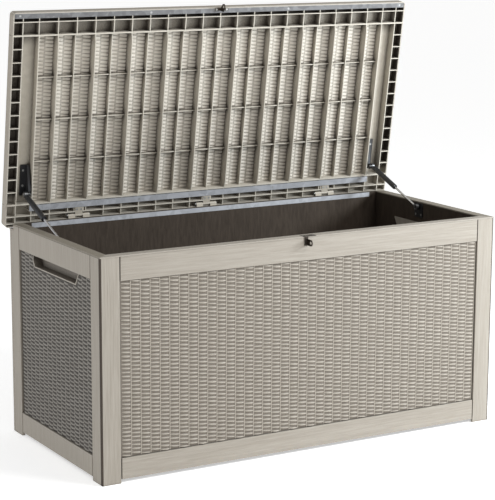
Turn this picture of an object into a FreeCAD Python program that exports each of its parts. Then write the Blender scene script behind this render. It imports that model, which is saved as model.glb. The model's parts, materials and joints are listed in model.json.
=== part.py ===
import FreeCAD, Part
import math
import os

from FreeCAD import Placement, Rotation, Vector

# A resin storage bench with a wicker-look body and a lid held open by two gas struts.
# Millimetres. +X runs along the bench, -Y is its front, +Z is up, and the floor is z = 0.
# The origin is under the middle of the body. The lid is modelled closed and then opened.

# How far a cutting shape runs past the face it opens, and how close two places count as one
CUT = 1.0
SAME_PLACE = 1e-6

# Driving dimensions: body
BODY_LENGTH = 1200.0
BODY_WIDTH = 560.0
BODY_HEIGHT = 581.0
WALL = 28.0
CORE_SKIN = 2.4
CORE_WEB_PITCH = 148.0
BOARD = 8.0
POST_WIDTH = 48.0
CORNER_ANGLE_WIDTH = 10.0
CORNER_ANGLE_WEB = 2.0
TOP_RAIL_BOTTOM = 517.0
BOTTOM_RAIL_TOP = 65.0
RAIL_FOOT_GAP = 10.0
SEAM = 2.5
RIM_THICKNESS = 3.0
RIM_LIP = 1.0
WICKER_THICKNESS = 2.5
WICKER_END_GAP = 3.0
WICKER_EDGE_GAP = 0.8
EDGE_ROUND = 1.2

# Driving dimensions: floor
FLOOR_PLATE = 5.0
FLOOR_LEDGE_HEIGHT = 14.0
FLOOR_LEDGE_WIDTH = 12.0
FLOOR_RIB = 3.0
FLOOR_RIB_PITCH = 110.0
CENTRE_FOOT_RADIUS = 32.0

# Driving dimensions: handle pockets
POCKET_TOP_WIDTH = 290.0
POCKET_BOTTOM_WIDTH = 250.0
POCKET_HEIGHT = 30.0
POCKET_DEPTH = 31.0
POCKET_WALL = 3.0
POCKET_LIP_PROUD = 1.5

# Driving dimensions: lid
LID_SIDE_OVERHANG = 17.0
LID_EDGE_OVERHANG = 13.0
LID_HEIGHT = 31.0
LID_REST_GAP = 1.0
LID_SKIRT = 3.0
LID_FIELD_SKIN = 3.5
LID_TOP_RECESS = 3.5
LID_BORDER = 62.0
LID_EDGE_ROUND = 7.0
LID_CORNER_ROUND = 10.0
LID_GROOVE = 4.4
GROOVE_OVERCUT = 0.1
GROOVE_FOOT = 10.3
LID_OPEN_ANGLE = 81.14

# Driving dimensions: ribs under the lid
RIB = 2.5
BAYS_EACH_SIDE = 10
CROSS_RIBS = 3
TALL_RIB_PROUD = 4.5
SHORT_RIB_INSET = 8.0
CROSS_RIB_INSET = 10.0
TALL_RIB_RAMP = 20.0
FIELD_WALL = 4.0
RUNG_PITCH = 38.5
LADDER_WIDTH = 29.0
FIELD_SIDE_GAP = 4.0
REAR_CELL_RIBS = (10.0, 29.0)
REAR_FIELD_WALL = 62.0
FRONT_FIELD_WALL_INSET = 62.0
FRONT_CELL_RIB_INSET = 26.0

# Driving dimensions: steel bars
BAR_THICKNESS = 2.0
FRONT_BAR_WIDTH = 13.0
FRONT_BAR_INSET = 3.0
FRONT_BAR_END_GAP = 1.5
REAR_BAR_WIDTH = 16.0
REAR_BAR_FROM_BACK = 42.0
REAR_BAR_PAST_FIELD = 6.0
BAR_BOSS_RADIUS = 5.5
BAR_INNER_SCREW = 217.0
FRONT_BAR_SCREW_INSET = 19.0
REAR_BAR_SCREW_INSET = 23.0
RIM_BAR_HEIGHT = 13.0
RIM_BAR_DROP = 2.0
RIM_BAR_END_GAP = 24.0

# Driving dimensions: hinges
HINGE_FROM_BACK_FACE = 5.0
HINGE_ABOVE_RIM = 5.0
HINGE_SPREAD = 400.0
HINGE_LEDGE_DROP = 15.5
HINGE_LIP = 6.0
KNUCKLE_RADIUS = 4.5
PIN_RADIUS = 2.0
PIN_HEAD_RADIUS = 3.2
RUNNING_GAP = 0.05
LEAF = 2.0
BOX_LEAF_HALF_WIDTH = 32.0
LID_KNUCKLE_HALF = 11.0
KNUCKLE_END_GAP = 0.5
LID_LEAF_INSET = 0.4
LID_LEAF_LENGTH = 23.0
HINGE_PAD_HALF_WIDTH = 15.0
KNUCKLE_ROOM = 2.0
PIN_END_ROOM = 1.0
LEAF_MARGIN = 1.0
ARM_BITE = 0.3
BOX_LEAF_SCREW_SPREAD = 19.2
LID_LEAF_SCREW_SPREAD = 6.05
BOX_LEAF_SCREW_LENGTH = 7.5

# Driving dimensions: gas struts
STRUT_FROM_WALL = 10.0
STRUT_LID_PIVOT = 90.0
STRUT_WALL_PIVOT_Y = 30.0
STRUT_WALL_PIVOT_DROP = 15.0
TUBE_RADIUS = 7.5
TUBE_WALL = 1.3
TUBE_START = 13.0
TUBE_END = 130.0
TUBE_CAP = 5.2
ROD_RADIUS = 3.0
ROD_ENGAGED = 12.0
EYE_RADIUS = 8.0
EYE_THICKNESS = 8.0
EYE_NECK_RADIUS = 3.6
STRUT_PIN_RADIUS = 3.0
LID_PIN_HEAD_RADIUS = 4.8
CLIP_RADIUS = 4.5
STUD_GAP = 0.4
BRACKET = 2.5
COLLAR_RADIUS = 5.1
COLLAR_HEIGHT = 1.0
WALL_PLATE_HALF = 19.2
WALL_PLATE_DROP = 30.7
WALL_PLATE_RISE = 9.6
WALL_PLATE_ROUND = 4.0
WALL_SCREW_DROP = 22.4
WALL_SCREW_SPREAD = 12.8
LID_ARM_LENGTH = 77.0
LID_ARM_GAP = 1.0
LID_ARM_END_DEPTH = 7.5
LID_ARM_RETURN = 5.0
LID_ARM_SCREWS = (19.3, 61.6)

# Driving dimensions: latch
LATCH_PLATE_HALF = 21.0
LATCH_SHEET = 1.5
LATCH_EYE_SHEET = 2.0
LATCH_HOLE_RADIUS = 4.0
LATCH_EYE_RADIUS = 8.5
LATCH_HOLE_FORWARD = 17.0
LATCH_HOLE_DROP = 16.0
KEEPER_EYE_X = -7.0
LATCH_SIDE_GAP = 0.6
KEEPER_DEPTH = 18.0
KEEPER_STRAP_SIDE = 8.0
LATCH_SCREW_MARGIN = 4.8

# Driving dimensions: screws
SCREW_RADIUS = 1.5
SCREW_HEAD_RADIUS = 3.0
SCREW_HEAD_HEIGHT = 1.4
SCREW_LENGTH = 9.0

# Derived places shared by several pieces
HALF_LENGTH = BODY_LENGTH / 2
HALF_WIDTH = BODY_WIDTH / 2
INNER_X = HALF_LENGTH - WALL
INNER_Y = HALF_WIDTH - WALL
RIM_BOTTOM = BODY_HEIGHT - RIM_THICKNESS
LEDGE_TOP = BODY_HEIGHT - HINGE_LEDGE_DROP
LEDGE_RIM_BOTTOM = LEDGE_TOP - RIM_THICKNESS
LEDGE_Y = INNER_Y + HINGE_LIP
LID_HALF_LENGTH = HALF_LENGTH + LID_SIDE_OVERHANG
LID_HALF_DEPTH = HALF_WIDTH + LID_EDGE_OVERHANG
LID_DEPTH = 2 * LID_HALF_DEPTH
RIM_PLANE = BODY_HEIGHT + LID_REST_GAP
FIELD_CEILING = LID_HEIGHT - LID_TOP_RECESS - LID_FIELD_SKIN
FRONT_FIELD_WALL = LID_DEPTH - FRONT_FIELD_WALL_INSET
FRONT_CELL_RIB = LID_DEPTH - FRONT_CELL_RIB_INSET
FRONT_BAR_START = LID_DEPTH - FRONT_BAR_INSET - FRONT_BAR_WIDTH
LADDER_X = LID_HALF_LENGTH - LADDER_WIDTH
STRUT_X = INNER_X - STRUT_FROM_WALL
LID_ARM_INNER = STRUT_X - TUBE_RADIUS - LID_ARM_GAP - BRACKET
FIELD_X = LID_ARM_INNER - LID_ARM_RETURN - FIELD_SIDE_GAP
BAY = FIELD_X / BAYS_EACH_SIDE
FRONT_BAR_SCREWS = (FRONT_BAR_SCREW_INSET - LID_HALF_LENGTH, -BAR_INNER_SCREW,
                    BAR_INNER_SCREW, LID_HALF_LENGTH - FRONT_BAR_SCREW_INSET)
REAR_BAR_HALF_LENGTH = FIELD_X + REAR_BAR_PAST_FIELD
REAR_BAR_SCREWS = (REAR_BAR_SCREW_INSET - REAR_BAR_HALF_LENGTH, -BAR_INNER_SCREW,
                   BAR_INNER_SCREW, REAR_BAR_HALF_LENGTH - REAR_BAR_SCREW_INSET)
HINGE_Y = HALF_WIDTH - HINGE_FROM_BACK_FACE
HINGE_Z = BODY_HEIGHT + HINGE_ABOVE_RIM
HINGE_FROM_LID_BACK = LID_HALF_DEPTH - HINGE_Y
HINGE_CENTRES = (-HINGE_SPREAD, 0.0, HINGE_SPREAD)
STRUT_WALL_PIVOT = Vector(STRUT_X, STRUT_WALL_PIVOT_Y, BODY_HEIGHT - STRUT_WALL_PIVOT_DROP)
LATCH_HOLE_Y = -HALF_WIDTH - LATCH_HOLE_FORWARD
LATCH_HOLE_Z = BODY_HEIGHT - LATCH_HOLE_DROP


def block(x0, x1, y0, y1, z0, z1):
    """A box between two corners."""
    return Part.makeBox(x1 - x0, y1 - y0, z1 - z0, Vector(x0, y0, z0))


def prism(points, direction):
    """A closed outline pushed along a direction."""
    wire = Part.makePolygon(points + [points[0]])
    return Part.Face(wire).extrude(direction)


def rod_along(start, direction, length, radius):
    return Part.makeCylinder(radius, length, start, direction)


def join(shapes):
    """One clean solid from pieces that touch."""
    shapes = list(shapes)
    if len(shapes) == 1:
        return shapes[0]
    return shapes[0].multiFuse(shapes[1:]).removeSplitter()


def turned_about_z(shape, degrees):
    copy = shape.copy()
    copy.rotate(Vector(0, 0, 0), Vector(0, 0, 1), degrees)
    return copy


def mirrored_x(shape):
    return shape.mirror(Vector(0, 0, 0), Vector(1, 0, 0))


def soften(shape, radius, wanted):
    """Round the edges for which wanted(edge) is true."""
    edges = [edge for edge in shape.Edges if wanted(edge)]
    return shape.makeFillet(radius, edges)


def is_upright(edge):
    first, last = edge.Vertexes[0].Point, edge.Vertexes[-1].Point
    return abs(first.x - last.x) + abs(first.y - last.y) < SAME_PLACE


def opened(shape):
    """Swing a piece of the closed lid to the open pose."""
    copy = shape.copy()
    copy.rotate(Vector(0, HINGE_Y, HINGE_Z), Vector(1, 0, 0), -LID_OPEN_ANGLE)
    return copy


def lid_block(x0, x1, d0, d1, h0, h1):
    """A box in the lid: d runs forward from its back edge, h runs up from its rim plane."""
    return block(x0, x1, LID_HALF_DEPTH - d1, LID_HALF_DEPTH - d0, RIM_PLANE + h0, RIM_PLANE + h1)


def lid_point(x, d, h):
    return Vector(x, LID_HALF_DEPTH - d, RIM_PLANE + h)


def screw(head_top, into, length=SCREW_LENGTH):
    """A countersunk screw: its flat head face is at head_top and its shank runs along into."""
    head = Part.makeCone(SCREW_HEAD_RADIUS, SCREW_RADIUS, SCREW_HEAD_HEIGHT, head_top, into)
    shank = rod_along(head_top, into, length, SCREW_RADIUS)
    return head.fuse(shank)


# The body

def above_hinge_ledge():
    """The space over the hinge ledge, which every wall piece near the back leaves open."""
    reach = BODY_LENGTH
    return block(-reach, reach, LEDGE_Y, HALF_WIDTH + WALL, LEDGE_RIM_BOTTOM, BODY_HEIGHT + WALL)


def floor_panel():
    plate_bottom = RAIL_FOOT_GAP + FLOOR_LEDGE_HEIGHT
    plate = block(-INNER_X, INNER_X, -INNER_Y, INNER_Y, plate_bottom, plate_bottom + FLOOR_PLATE)
    rib_x = INNER_X - FLOOR_LEDGE_WIDTH - FLOOR_RIB
    rib_y = INNER_Y - FLOOR_LEDGE_WIDTH - FLOOR_RIB
    pieces = [plate]
    for index in range(-int(rib_x / FLOOR_RIB_PITCH), int(rib_x / FLOOR_RIB_PITCH) + 1):
        x = index * FLOOR_RIB_PITCH
        pieces.append(block(x - FLOOR_RIB / 2, x + FLOOR_RIB / 2, -rib_y, rib_y, RAIL_FOOT_GAP, plate_bottom))
    for index in range(-int(rib_y / FLOOR_RIB_PITCH), int(rib_y / FLOOR_RIB_PITCH) + 1):
        y = index * FLOOR_RIB_PITCH
        pieces.append(block(-rib_x, rib_x, y - FLOOR_RIB / 2, y + FLOOR_RIB / 2, RAIL_FOOT_GAP, plate_bottom))
    pieces.append(rod_along(Vector(0, 0, 0), Vector(0, 0, 1), plate_bottom, CENTRE_FOOT_RADIUS))
    return join(pieces)


def core_wall(half_run, outer, ledge_run, top):
    """A twin-skin inner wall facing the front. It stands behind the boards and carries a floor ledge."""
    inner = outer - (WALL - BOARD)
    wall = block(-half_run, half_run, -outer, -inner, RAIL_FOOT_GAP, top)
    cell_count = int(2 * half_run / CORE_WEB_PITCH)
    pitch = (2 * half_run - CORE_SKIN) / cell_count
    cells = []
    for index in range(cell_count):
        x = -half_run + CORE_SKIN + index * pitch
        cells.append(block(x, x + pitch - CORE_SKIN, -outer + CORE_SKIN, -inner - CORE_SKIN,
                           RAIL_FOOT_GAP - CUT, top - CORE_SKIN))
    ledge = block(-ledge_run, ledge_run, -inner, -inner + FLOOR_LEDGE_WIDTH,
                  RAIL_FOOT_GAP, RAIL_FOOT_GAP + FLOOR_LEDGE_HEIGHT)
    return join([wall.cut(Part.makeCompound(cells)), ledge])


def front_core():
    return core_wall(HALF_LENGTH - BOARD, HALF_WIDTH - BOARD, INNER_X, RIM_BOTTOM)


def back_core():
    """The back inner wall stops at the hinge ledge, and a thin inner lip rises to the rim."""
    wall = turned_about_z(core_wall(HALF_LENGTH - BOARD, HALF_WIDTH - BOARD, INNER_X, LEDGE_RIM_BOTTOM), 180)
    lip = block(-INNER_X, INNER_X, INNER_Y, LEDGE_Y, LEDGE_RIM_BOTTOM, BODY_HEIGHT)
    return join([wall, lip]).cut(back_rim_bar())


def back_rim_bar():
    """A steel bar let into the back lip, flush with the storage space."""
    reach = INNER_X - RIM_BAR_END_GAP
    top = BODY_HEIGHT - RIM_BAR_DROP
    return block(-reach, reach, INNER_Y, INNER_Y + BAR_THICKNESS, top - RIM_BAR_HEIGHT, top)


def pocket_outline(x, grow):
    """The handle pocket's trapezoid on the plane at x, grown by a margin on its ends and floor."""
    top = TOP_RAIL_BOTTOM
    bottom = top - POCKET_HEIGHT - grow
    half_top = POCKET_TOP_WIDTH / 2 + grow
    half_bottom = POCKET_BOTTOM_WIDTH / 2 + grow
    return [Vector(x, -half_top, top), Vector(x, half_top, top),
            Vector(x, half_bottom, bottom), Vector(x, -half_bottom, bottom)]


def pocket_space(grow, x0, x1):
    return prism(pocket_outline(x0, grow), Vector(x1 - x0, 0, 0))


def side_core(sign):
    """An end inner wall, cut through where the handle pocket passes into it."""
    outer = HALF_LENGTH - BOARD
    wall = turned_about_z(core_wall(INNER_Y, outer, INNER_Y - FLOOR_LEDGE_WIDTH, RIM_BOTTOM), -90)
    ceiling = block(-outer, -INNER_X, -POCKET_TOP_WIDTH / 2 - POCKET_WALL, POCKET_TOP_WIDTH / 2 + POCKET_WALL,
                    TOP_RAIL_BOTTOM, TOP_RAIL_BOTTOM + POCKET_WALL)
    shape = wall.cut(pocket_space(POCKET_WALL, -outer - CUT, -INNER_X + CUT)).cut(ceiling)
    return shape if sign < 0 else mirrored_x(shape)


def handle_pocket(sign):
    """A finger pocket set into an end wall under the top rail, open to the outside."""
    mouth = -HALF_LENGTH + BOARD - WICKER_THICKNESS - POCKET_LIP_PROUD
    back = -HALF_LENGTH + POCKET_DEPTH
    outer = pocket_space(POCKET_WALL, mouth, back)
    roof = block(-HALF_LENGTH + BOARD, back, -POCKET_TOP_WIDTH / 2 - POCKET_WALL,
                 POCKET_TOP_WIDTH / 2 + POCKET_WALL, TOP_RAIL_BOTTOM, TOP_RAIL_BOTTOM + POCKET_WALL)
    hollow = pocket_space(0, mouth - CUT, back - POCKET_WALL)
    shape = join([outer, roof]).cut(hollow)
    return shape if sign < 0 else mirrored_x(shape)


def long_post(side, face):
    """A post on the front or back face. side is -1 for the left end, face is -1 for the front."""
    top = RIM_BOTTOM if face < 0 else LEDGE_RIM_BOTTOM
    x0 = -HALF_LENGTH + CORNER_ANGLE_WEB
    x1 = x0 + POST_WIDTH + CORNER_ANGLE_WEB
    shape = soften(block(x0, x1, -HALF_WIDTH, -HALF_WIDTH + BOARD, 0, top), EDGE_ROUND,
                   lambda edge: is_upright(edge) and edge.CenterOfMass.y < -HALF_WIDTH + EDGE_ROUND)
    if side > 0:
        shape = mirrored_x(shape)
    return shape if face < 0 else shape.mirror(Vector(0, 0, 0), Vector(0, 1, 0))


def end_post(side, face):
    """A post on an end face. side is -1 for the left end, face is -1 for its front edge."""
    y0 = -HALF_WIDTH + CORNER_ANGLE_WIDTH
    shape = soften(block(-HALF_LENGTH, -HALF_LENGTH + BOARD, y0, y0 + POST_WIDTH, 0, RIM_BOTTOM), EDGE_ROUND,
                   lambda edge: is_upright(edge) and edge.CenterOfMass.x < -HALF_LENGTH + EDGE_ROUND)
    if side > 0:
        shape = mirrored_x(shape)
    if face > 0:
        shape = shape.mirror(Vector(0, 0, 0), Vector(0, 1, 0)).cut(above_hinge_ledge())
    return shape


def corner_angle(side, face):
    """The dark angle that closes a corner: its web covers the long post's end."""
    web = block(-HALF_LENGTH, -HALF_LENGTH + CORNER_ANGLE_WEB, -HALF_WIDTH, -HALF_WIDTH + CORNER_ANGLE_WIDTH,
                0, RIM_BOTTOM)
    leg = block(-HALF_LENGTH + CORNER_ANGLE_WEB, -HALF_LENGTH + BOARD, -HALF_WIDTH + BOARD,
                -HALF_WIDTH + CORNER_ANGLE_WIDTH, 0, RIM_BOTTOM)
    shape = join([web, leg])
    if side > 0:
        shape = mirrored_x(shape)
    if face > 0:
        shape = shape.mirror(Vector(0, 0, 0), Vector(0, 1, 0)).cut(above_hinge_ledge())
    return shape


def long_rail_half():
    """Half the length of a rail between the posts of the front or back."""
    return HALF_LENGTH - 2 * CORNER_ANGLE_WEB - POST_WIDTH - SEAM


def end_rail_half():
    return HALF_WIDTH - CORNER_ANGLE_WIDTH - POST_WIDTH - SEAM


def rail_board(half_run, face, z0, z1):
    """A front-facing board at distance face from the middle, with softened long edges."""
    shape = block(-half_run, half_run, -face, -face + BOARD, z0, z1)
    return soften(shape, EDGE_ROUND, lambda edge: edge.CenterOfMass.y < -face + EDGE_ROUND)


def keeper_seat():
    return block(-LATCH_PLATE_HALF, LATCH_PLATE_HALF, -HALF_WIDTH - 2 * RIM_LIP, -HALF_WIDTH + KEEPER_DEPTH,
                 BODY_HEIGHT - LATCH_SHEET, BODY_HEIGHT + CUT)


def front_top_rail():
    """The front top rail with the mitred rim that caps the wall. The keeper plate sits in it."""
    board = rail_board(long_rail_half(), HALF_WIDTH, TOP_RAIL_BOTTOM, RIM_BOTTOM)
    z = RIM_BOTTOM
    rim = prism([Vector(-HALF_LENGTH - RIM_LIP, -HALF_WIDTH - RIM_LIP, z),
                 Vector(HALF_LENGTH + RIM_LIP, -HALF_WIDTH - RIM_LIP, z),
                 Vector(INNER_X, -INNER_Y, z), Vector(-INNER_X, -INNER_Y, z)], Vector(0, 0, RIM_THICKNESS))
    return join([board, rim]).cut(keeper_seat())


def back_top_rail():
    """The back top rail is lower, and its rim is the ledge that the lid's back edge swings over."""
    board = turned_about_z(rail_board(long_rail_half(), HALF_WIDTH, TOP_RAIL_BOTTOM, LEDGE_RIM_BOTTOM), 180)
    rim = block(-HALF_LENGTH - RIM_LIP, HALF_LENGTH + RIM_LIP, LEDGE_Y, HALF_WIDTH + RIM_LIP,
                LEDGE_RIM_BOTTOM, LEDGE_TOP)
    return join([board, rim])


def side_top_rail(sign):
    board = turned_about_z(rail_board(end_rail_half(), HALF_LENGTH, TOP_RAIL_BOTTOM, RIM_BOTTOM), -90)
    z = RIM_BOTTOM
    rim = prism([Vector(-HALF_LENGTH - RIM_LIP, -HALF_WIDTH - RIM_LIP, z), Vector(-INNER_X, -INNER_Y, z),
                 Vector(-INNER_X, INNER_Y, z), Vector(-INNER_X, LEDGE_Y, z),
                 Vector(-HALF_LENGTH - RIM_LIP, LEDGE_Y, z)], Vector(0, 0, RIM_THICKNESS))
    shape = join([board, rim])
    return shape if sign < 0 else mirrored_x(shape)


def bottom_rail(half_run, face, degrees):
    return turned_about_z(rail_board(half_run, face, RAIL_FOOT_GAP, BOTTOM_RAIL_TOP), degrees)


def wicker_panel(half_run, face):
    """A woven panel for the front, set back between the posts and rails."""
    back = -face + BOARD
    half = half_run + SEAM - WICKER_END_GAP
    return block(-half, half, back - WICKER_THICKNESS, back,
                 BOTTOM_RAIL_TOP + WICKER_EDGE_GAP, TOP_RAIL_BOTTOM - WICKER_EDGE_GAP)


def side_wicker_panel(sign):
    """An end wicker panel with a notch for the handle pocket."""
    shape = turned_about_z(wicker_panel(end_rail_half(), HALF_LENGTH), -90)
    shape = shape.cut(pocket_space(POCKET_WALL, -HALF_LENGTH - CUT, -HALF_LENGTH + WALL))
    return shape if sign < 0 else mirrored_x(shape)


# The lid

def rib_along_x(d, x0, x1, tip, thickness=RIB):
    """A rib parallel to the hinge, from the lid's ceiling down to height tip."""
    return lid_block(x0, x1, d - thickness / 2, d + thickness / 2, tip, FIELD_CEILING)


def rib_along_d(x, d0, d1, tip, thickness=RIB):
    return lid_block(x - thickness / 2, x + thickness / 2, d0, d1, tip, FIELD_CEILING)


def tall_rib(x):
    """A long stiffening rib that stands proud of the rim plane and ramps down at its ends."""
    d0 = REAR_FIELD_WALL
    d1 = FRONT_FIELD_WALL
    profile = [(d0, FIELD_CEILING), (d0, 0), (d0 + TALL_RIB_RAMP, -TALL_RIB_PROUD),
               (d1 - TALL_RIB_RAMP, -TALL_RIB_PROUD), (d1, 0), (d1, FIELD_CEILING)]
    return prism([lid_point(x - RIB / 2, d, h) for d, h in profile], Vector(RIB, 0, 0))


def field_ribs():
    """The ribs of the middle field: tall and short ones in turn, crossed by low ones."""
    pieces = []
    for index in range(-BAYS_EACH_SIDE + 1, BAYS_EACH_SIDE):
        x = index * BAY
        if index % 2:
            pieces.append(tall_rib(x))
        else:
            pieces.append(rib_along_d(x, REAR_FIELD_WALL, FRONT_FIELD_WALL, SHORT_RIB_INSET))
    run = FRONT_FIELD_WALL - REAR_FIELD_WALL
    for number in range(1, CROSS_RIBS + 1):
        d = REAR_FIELD_WALL + run * number / (CROSS_RIBS + 1)
        pieces.append(rib_along_x(d, -FIELD_X, FIELD_X, CROSS_RIB_INSET))
    return pieces


def edge_ribs():
    """The walls around the field and strut channels, and the cells along the lid's edges."""
    reach = LID_HALF_LENGTH - LID_SKIRT / 2
    inner_front = LID_DEPTH - LID_SKIRT / 2
    inner_back = LID_SKIRT / 2
    pieces = [rib_along_x(REAR_CELL_RIBS[0], -reach, reach, 0),
              rib_along_x(REAR_CELL_RIBS[1], -reach, reach, 0),
              rib_along_x(REAR_FIELD_WALL, -reach, reach, 0, FIELD_WALL),
              rib_along_x(FRONT_FIELD_WALL, -reach, reach, 0, FIELD_WALL),
              rib_along_x(FRONT_CELL_RIB, -reach, reach, 0),
              rib_along_x(FRONT_BAR_START + RIB / 2, -reach, reach, BAR_THICKNESS),
              rib_along_x(REAR_BAR_FROM_BACK + RIB / 2, -REAR_BAR_HALF_LENGTH, REAR_BAR_HALF_LENGTH,
                          BAR_THICKNESS)]
    for sign in (-1, 1):
        pieces.append(rib_along_d(sign * FIELD_X, inner_back, inner_front, BAR_THICKNESS))
        pieces.append(rib_along_d(sign * FIELD_X, REAR_FIELD_WALL, FRONT_FIELD_WALL, 0))
        pieces.append(rib_along_d(sign * LADDER_X, inner_back, inner_front, BAR_THICKNESS))
        pieces.append(rib_along_d(sign * LADDER_X, REAR_FIELD_WALL, FRONT_FIELD_WALL, 0))
        rungs = int((FRONT_FIELD_WALL - REAR_FIELD_WALL) / RUNG_PITCH)
        for index in range(1, rungs + 1):
            d = REAR_FIELD_WALL + index * (FRONT_FIELD_WALL - REAR_FIELD_WALL) / (rungs + 1)
            x0, x1 = sorted((sign * LADDER_X, sign * reach))
            pieces.append(rib_along_x(d, x0, x1, 0))
    for index in range(-BAYS_EACH_SIDE + 1, BAYS_EACH_SIDE):
        x = index * BAY
        pieces.append(rib_along_d(x, FRONT_FIELD_WALL, FRONT_CELL_RIB, 0))
        pieces.append(rib_along_d(x, FRONT_CELL_RIB, inner_front, BAR_THICKNESS))
        pieces.append(rib_along_d(x, inner_back, REAR_FIELD_WALL, BAR_THICKNESS))
    return pieces


def bar_bosses():
    """Solid pads that take the bars' screws."""
    pieces = []
    for x in FRONT_BAR_SCREWS:
        pieces.append(lid_block(x - BAR_BOSS_RADIUS, x + BAR_BOSS_RADIUS, FRONT_BAR_START,
                                FRONT_BAR_START + FRONT_BAR_WIDTH, BAR_THICKNESS, FIELD_CEILING))
    for x in REAR_BAR_SCREWS:
        pieces.append(lid_block(x - BAR_BOSS_RADIUS, x + BAR_BOSS_RADIUS, REAR_BAR_FROM_BACK,
                                REAR_FIELD_WALL - FIELD_WALL / 2, BAR_THICKNESS, FIELD_CEILING))
    return pieces


def hinge_pads():
    depth0 = REAR_CELL_RIBS[1]
    depth1 = HINGE_FROM_LID_BACK + LID_LEAF_LENGTH
    return [lid_block(x - HINGE_PAD_HALF_WIDTH, x + HINGE_PAD_HALF_WIDTH, depth0, depth1,
                      LID_LEAF_INSET + LEAF, FIELD_CEILING) for x in HINGE_CENTRES]


def hinge_notches():
    """Gaps that let the hinge leaves cross the rear ribs and the knuckles turn in their cells."""
    pieces = []
    for x in HINGE_CENTRES:
        leaf_half = LID_KNUCKLE_HALF + KNUCKLE_END_GAP
        pieces.append(lid_block(x - leaf_half, x + leaf_half, HINGE_FROM_LID_BACK,
                                HINGE_FROM_LID_BACK + LID_LEAF_LENGTH, -CUT, LID_LEAF_INSET + LEAF))
        knuckle_half = BOX_LEAF_HALF_WIDTH + KNUCKLE_END_GAP + LEAF + PIN_END_ROOM
        cell0 = REAR_CELL_RIBS[0] + RIB / 2
        cell1 = REAR_CELL_RIBS[1] - RIB / 2
        pieces.append(lid_block(x - knuckle_half, x + knuckle_half, cell0, cell1, -CUT,
                                HINGE_ABOVE_RIM + KNUCKLE_RADIUS + KNUCKLE_ROOM))
    return pieces


def lid_outer():
    """The lid's outer skin: rounded, with a recessed field on top and V grooves between its boards."""
    shape = lid_block(-LID_HALF_LENGTH, LID_HALF_LENGTH, 0, LID_DEPTH, 0, LID_HEIGHT)
    shape = soften(shape, LID_CORNER_ROUND, is_upright)
    top = RIM_PLANE + LID_HEIGHT
    shape = soften(shape, LID_EDGE_ROUND,
                   lambda edge: all(abs(vertex.Point.z - top) < SAME_PLACE for vertex in edge.Vertexes))
    field = lid_block(-LID_HALF_LENGTH + LID_BORDER, LID_HALF_LENGTH - LID_BORDER, LID_BORDER,
                      LID_DEPTH - LID_BORDER, LID_HEIGHT - LID_TOP_RECESS, LID_HEIGHT + CUT)
    hollow = lid_block(-LID_HALF_LENGTH + LID_SKIRT, LID_HALF_LENGTH - LID_SKIRT, LID_SKIRT,
                       LID_DEPTH - LID_SKIRT, -CUT, FIELD_CEILING)
    return shape.cut(field).cut(hollow)


def board_grooves():
    """V grooves on top and down the ends where the long boards meet the end boards."""
    half = LID_GROOVE / 2
    pieces = []
    for d in (LID_BORDER, LID_DEPTH - LID_BORDER):
        for sign in (-1, 1):
            x0, x1 = sorted((sign * (LID_HALF_LENGTH - LID_BORDER), sign * (LID_HALF_LENGTH + CUT)))
            above = LID_HEIGHT + GROOVE_OVERCUT
            top = [(d - half, above), (d + half, above), (d, LID_HEIGHT - half)]
            pieces.append(prism([lid_point(x0, dd, h) for dd, h in top], Vector(x1 - x0, 0, 0)))
            edge = sign * LID_HALF_LENGTH
            side = [(edge, d - half), (edge, d + half), (edge - sign * half, d)]
            pieces.append(prism([lid_point(x, dd, GROOVE_FOOT) for x, dd in side],
                                Vector(0, 0, LID_HEIGHT)))
    return pieces


def lid_shell(screws):
    ribs = field_ribs() + edge_ribs() + bar_bosses() + hinge_pads()
    shape = lid_outer().multiFuse(ribs)
    cuts = hinge_notches() + board_grooves() + screws
    return shape.cut(Part.makeCompound(cuts)).removeSplitter()


def front_bar():
    """The steel bar along the lid's front edge."""
    reach = LID_HALF_LENGTH - LID_SKIRT - FRONT_BAR_END_GAP
    return lid_block(-reach, reach, FRONT_BAR_START, FRONT_BAR_START + FRONT_BAR_WIDTH, 0, BAR_THICKNESS)


def rear_bar():
    return lid_block(-REAR_BAR_HALF_LENGTH, REAR_BAR_HALF_LENGTH, REAR_BAR_FROM_BACK,
                     REAR_BAR_FROM_BACK + REAR_BAR_WIDTH, 0, BAR_THICKNESS)


def bar_screws():
    up = Vector(0, 0, 1)
    front_d = FRONT_BAR_START + FRONT_BAR_WIDTH / 2
    rear_d = REAR_BAR_FROM_BACK + REAR_BAR_WIDTH / 2
    return ([screw(lid_point(x, front_d, 0), up) for x in FRONT_BAR_SCREWS]
            + [screw(lid_point(x, rear_d, 0), up) for x in REAR_BAR_SCREWS])


# Hinges between the two

def knuckle(x0, x1):
    return rod_along(Vector(x0, HINGE_Y, HINGE_Z), Vector(1, 0, 0), x1 - x0, KNUCKLE_RADIUS)


def pin_bore(centre):
    reach = BOX_LEAF_HALF_WIDTH + CUT
    start = Vector(centre - reach, HINGE_Y, HINGE_Z)
    return rod_along(start, Vector(1, 0, 0), 2 * reach, PIN_RADIUS + RUNNING_GAP)


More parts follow.
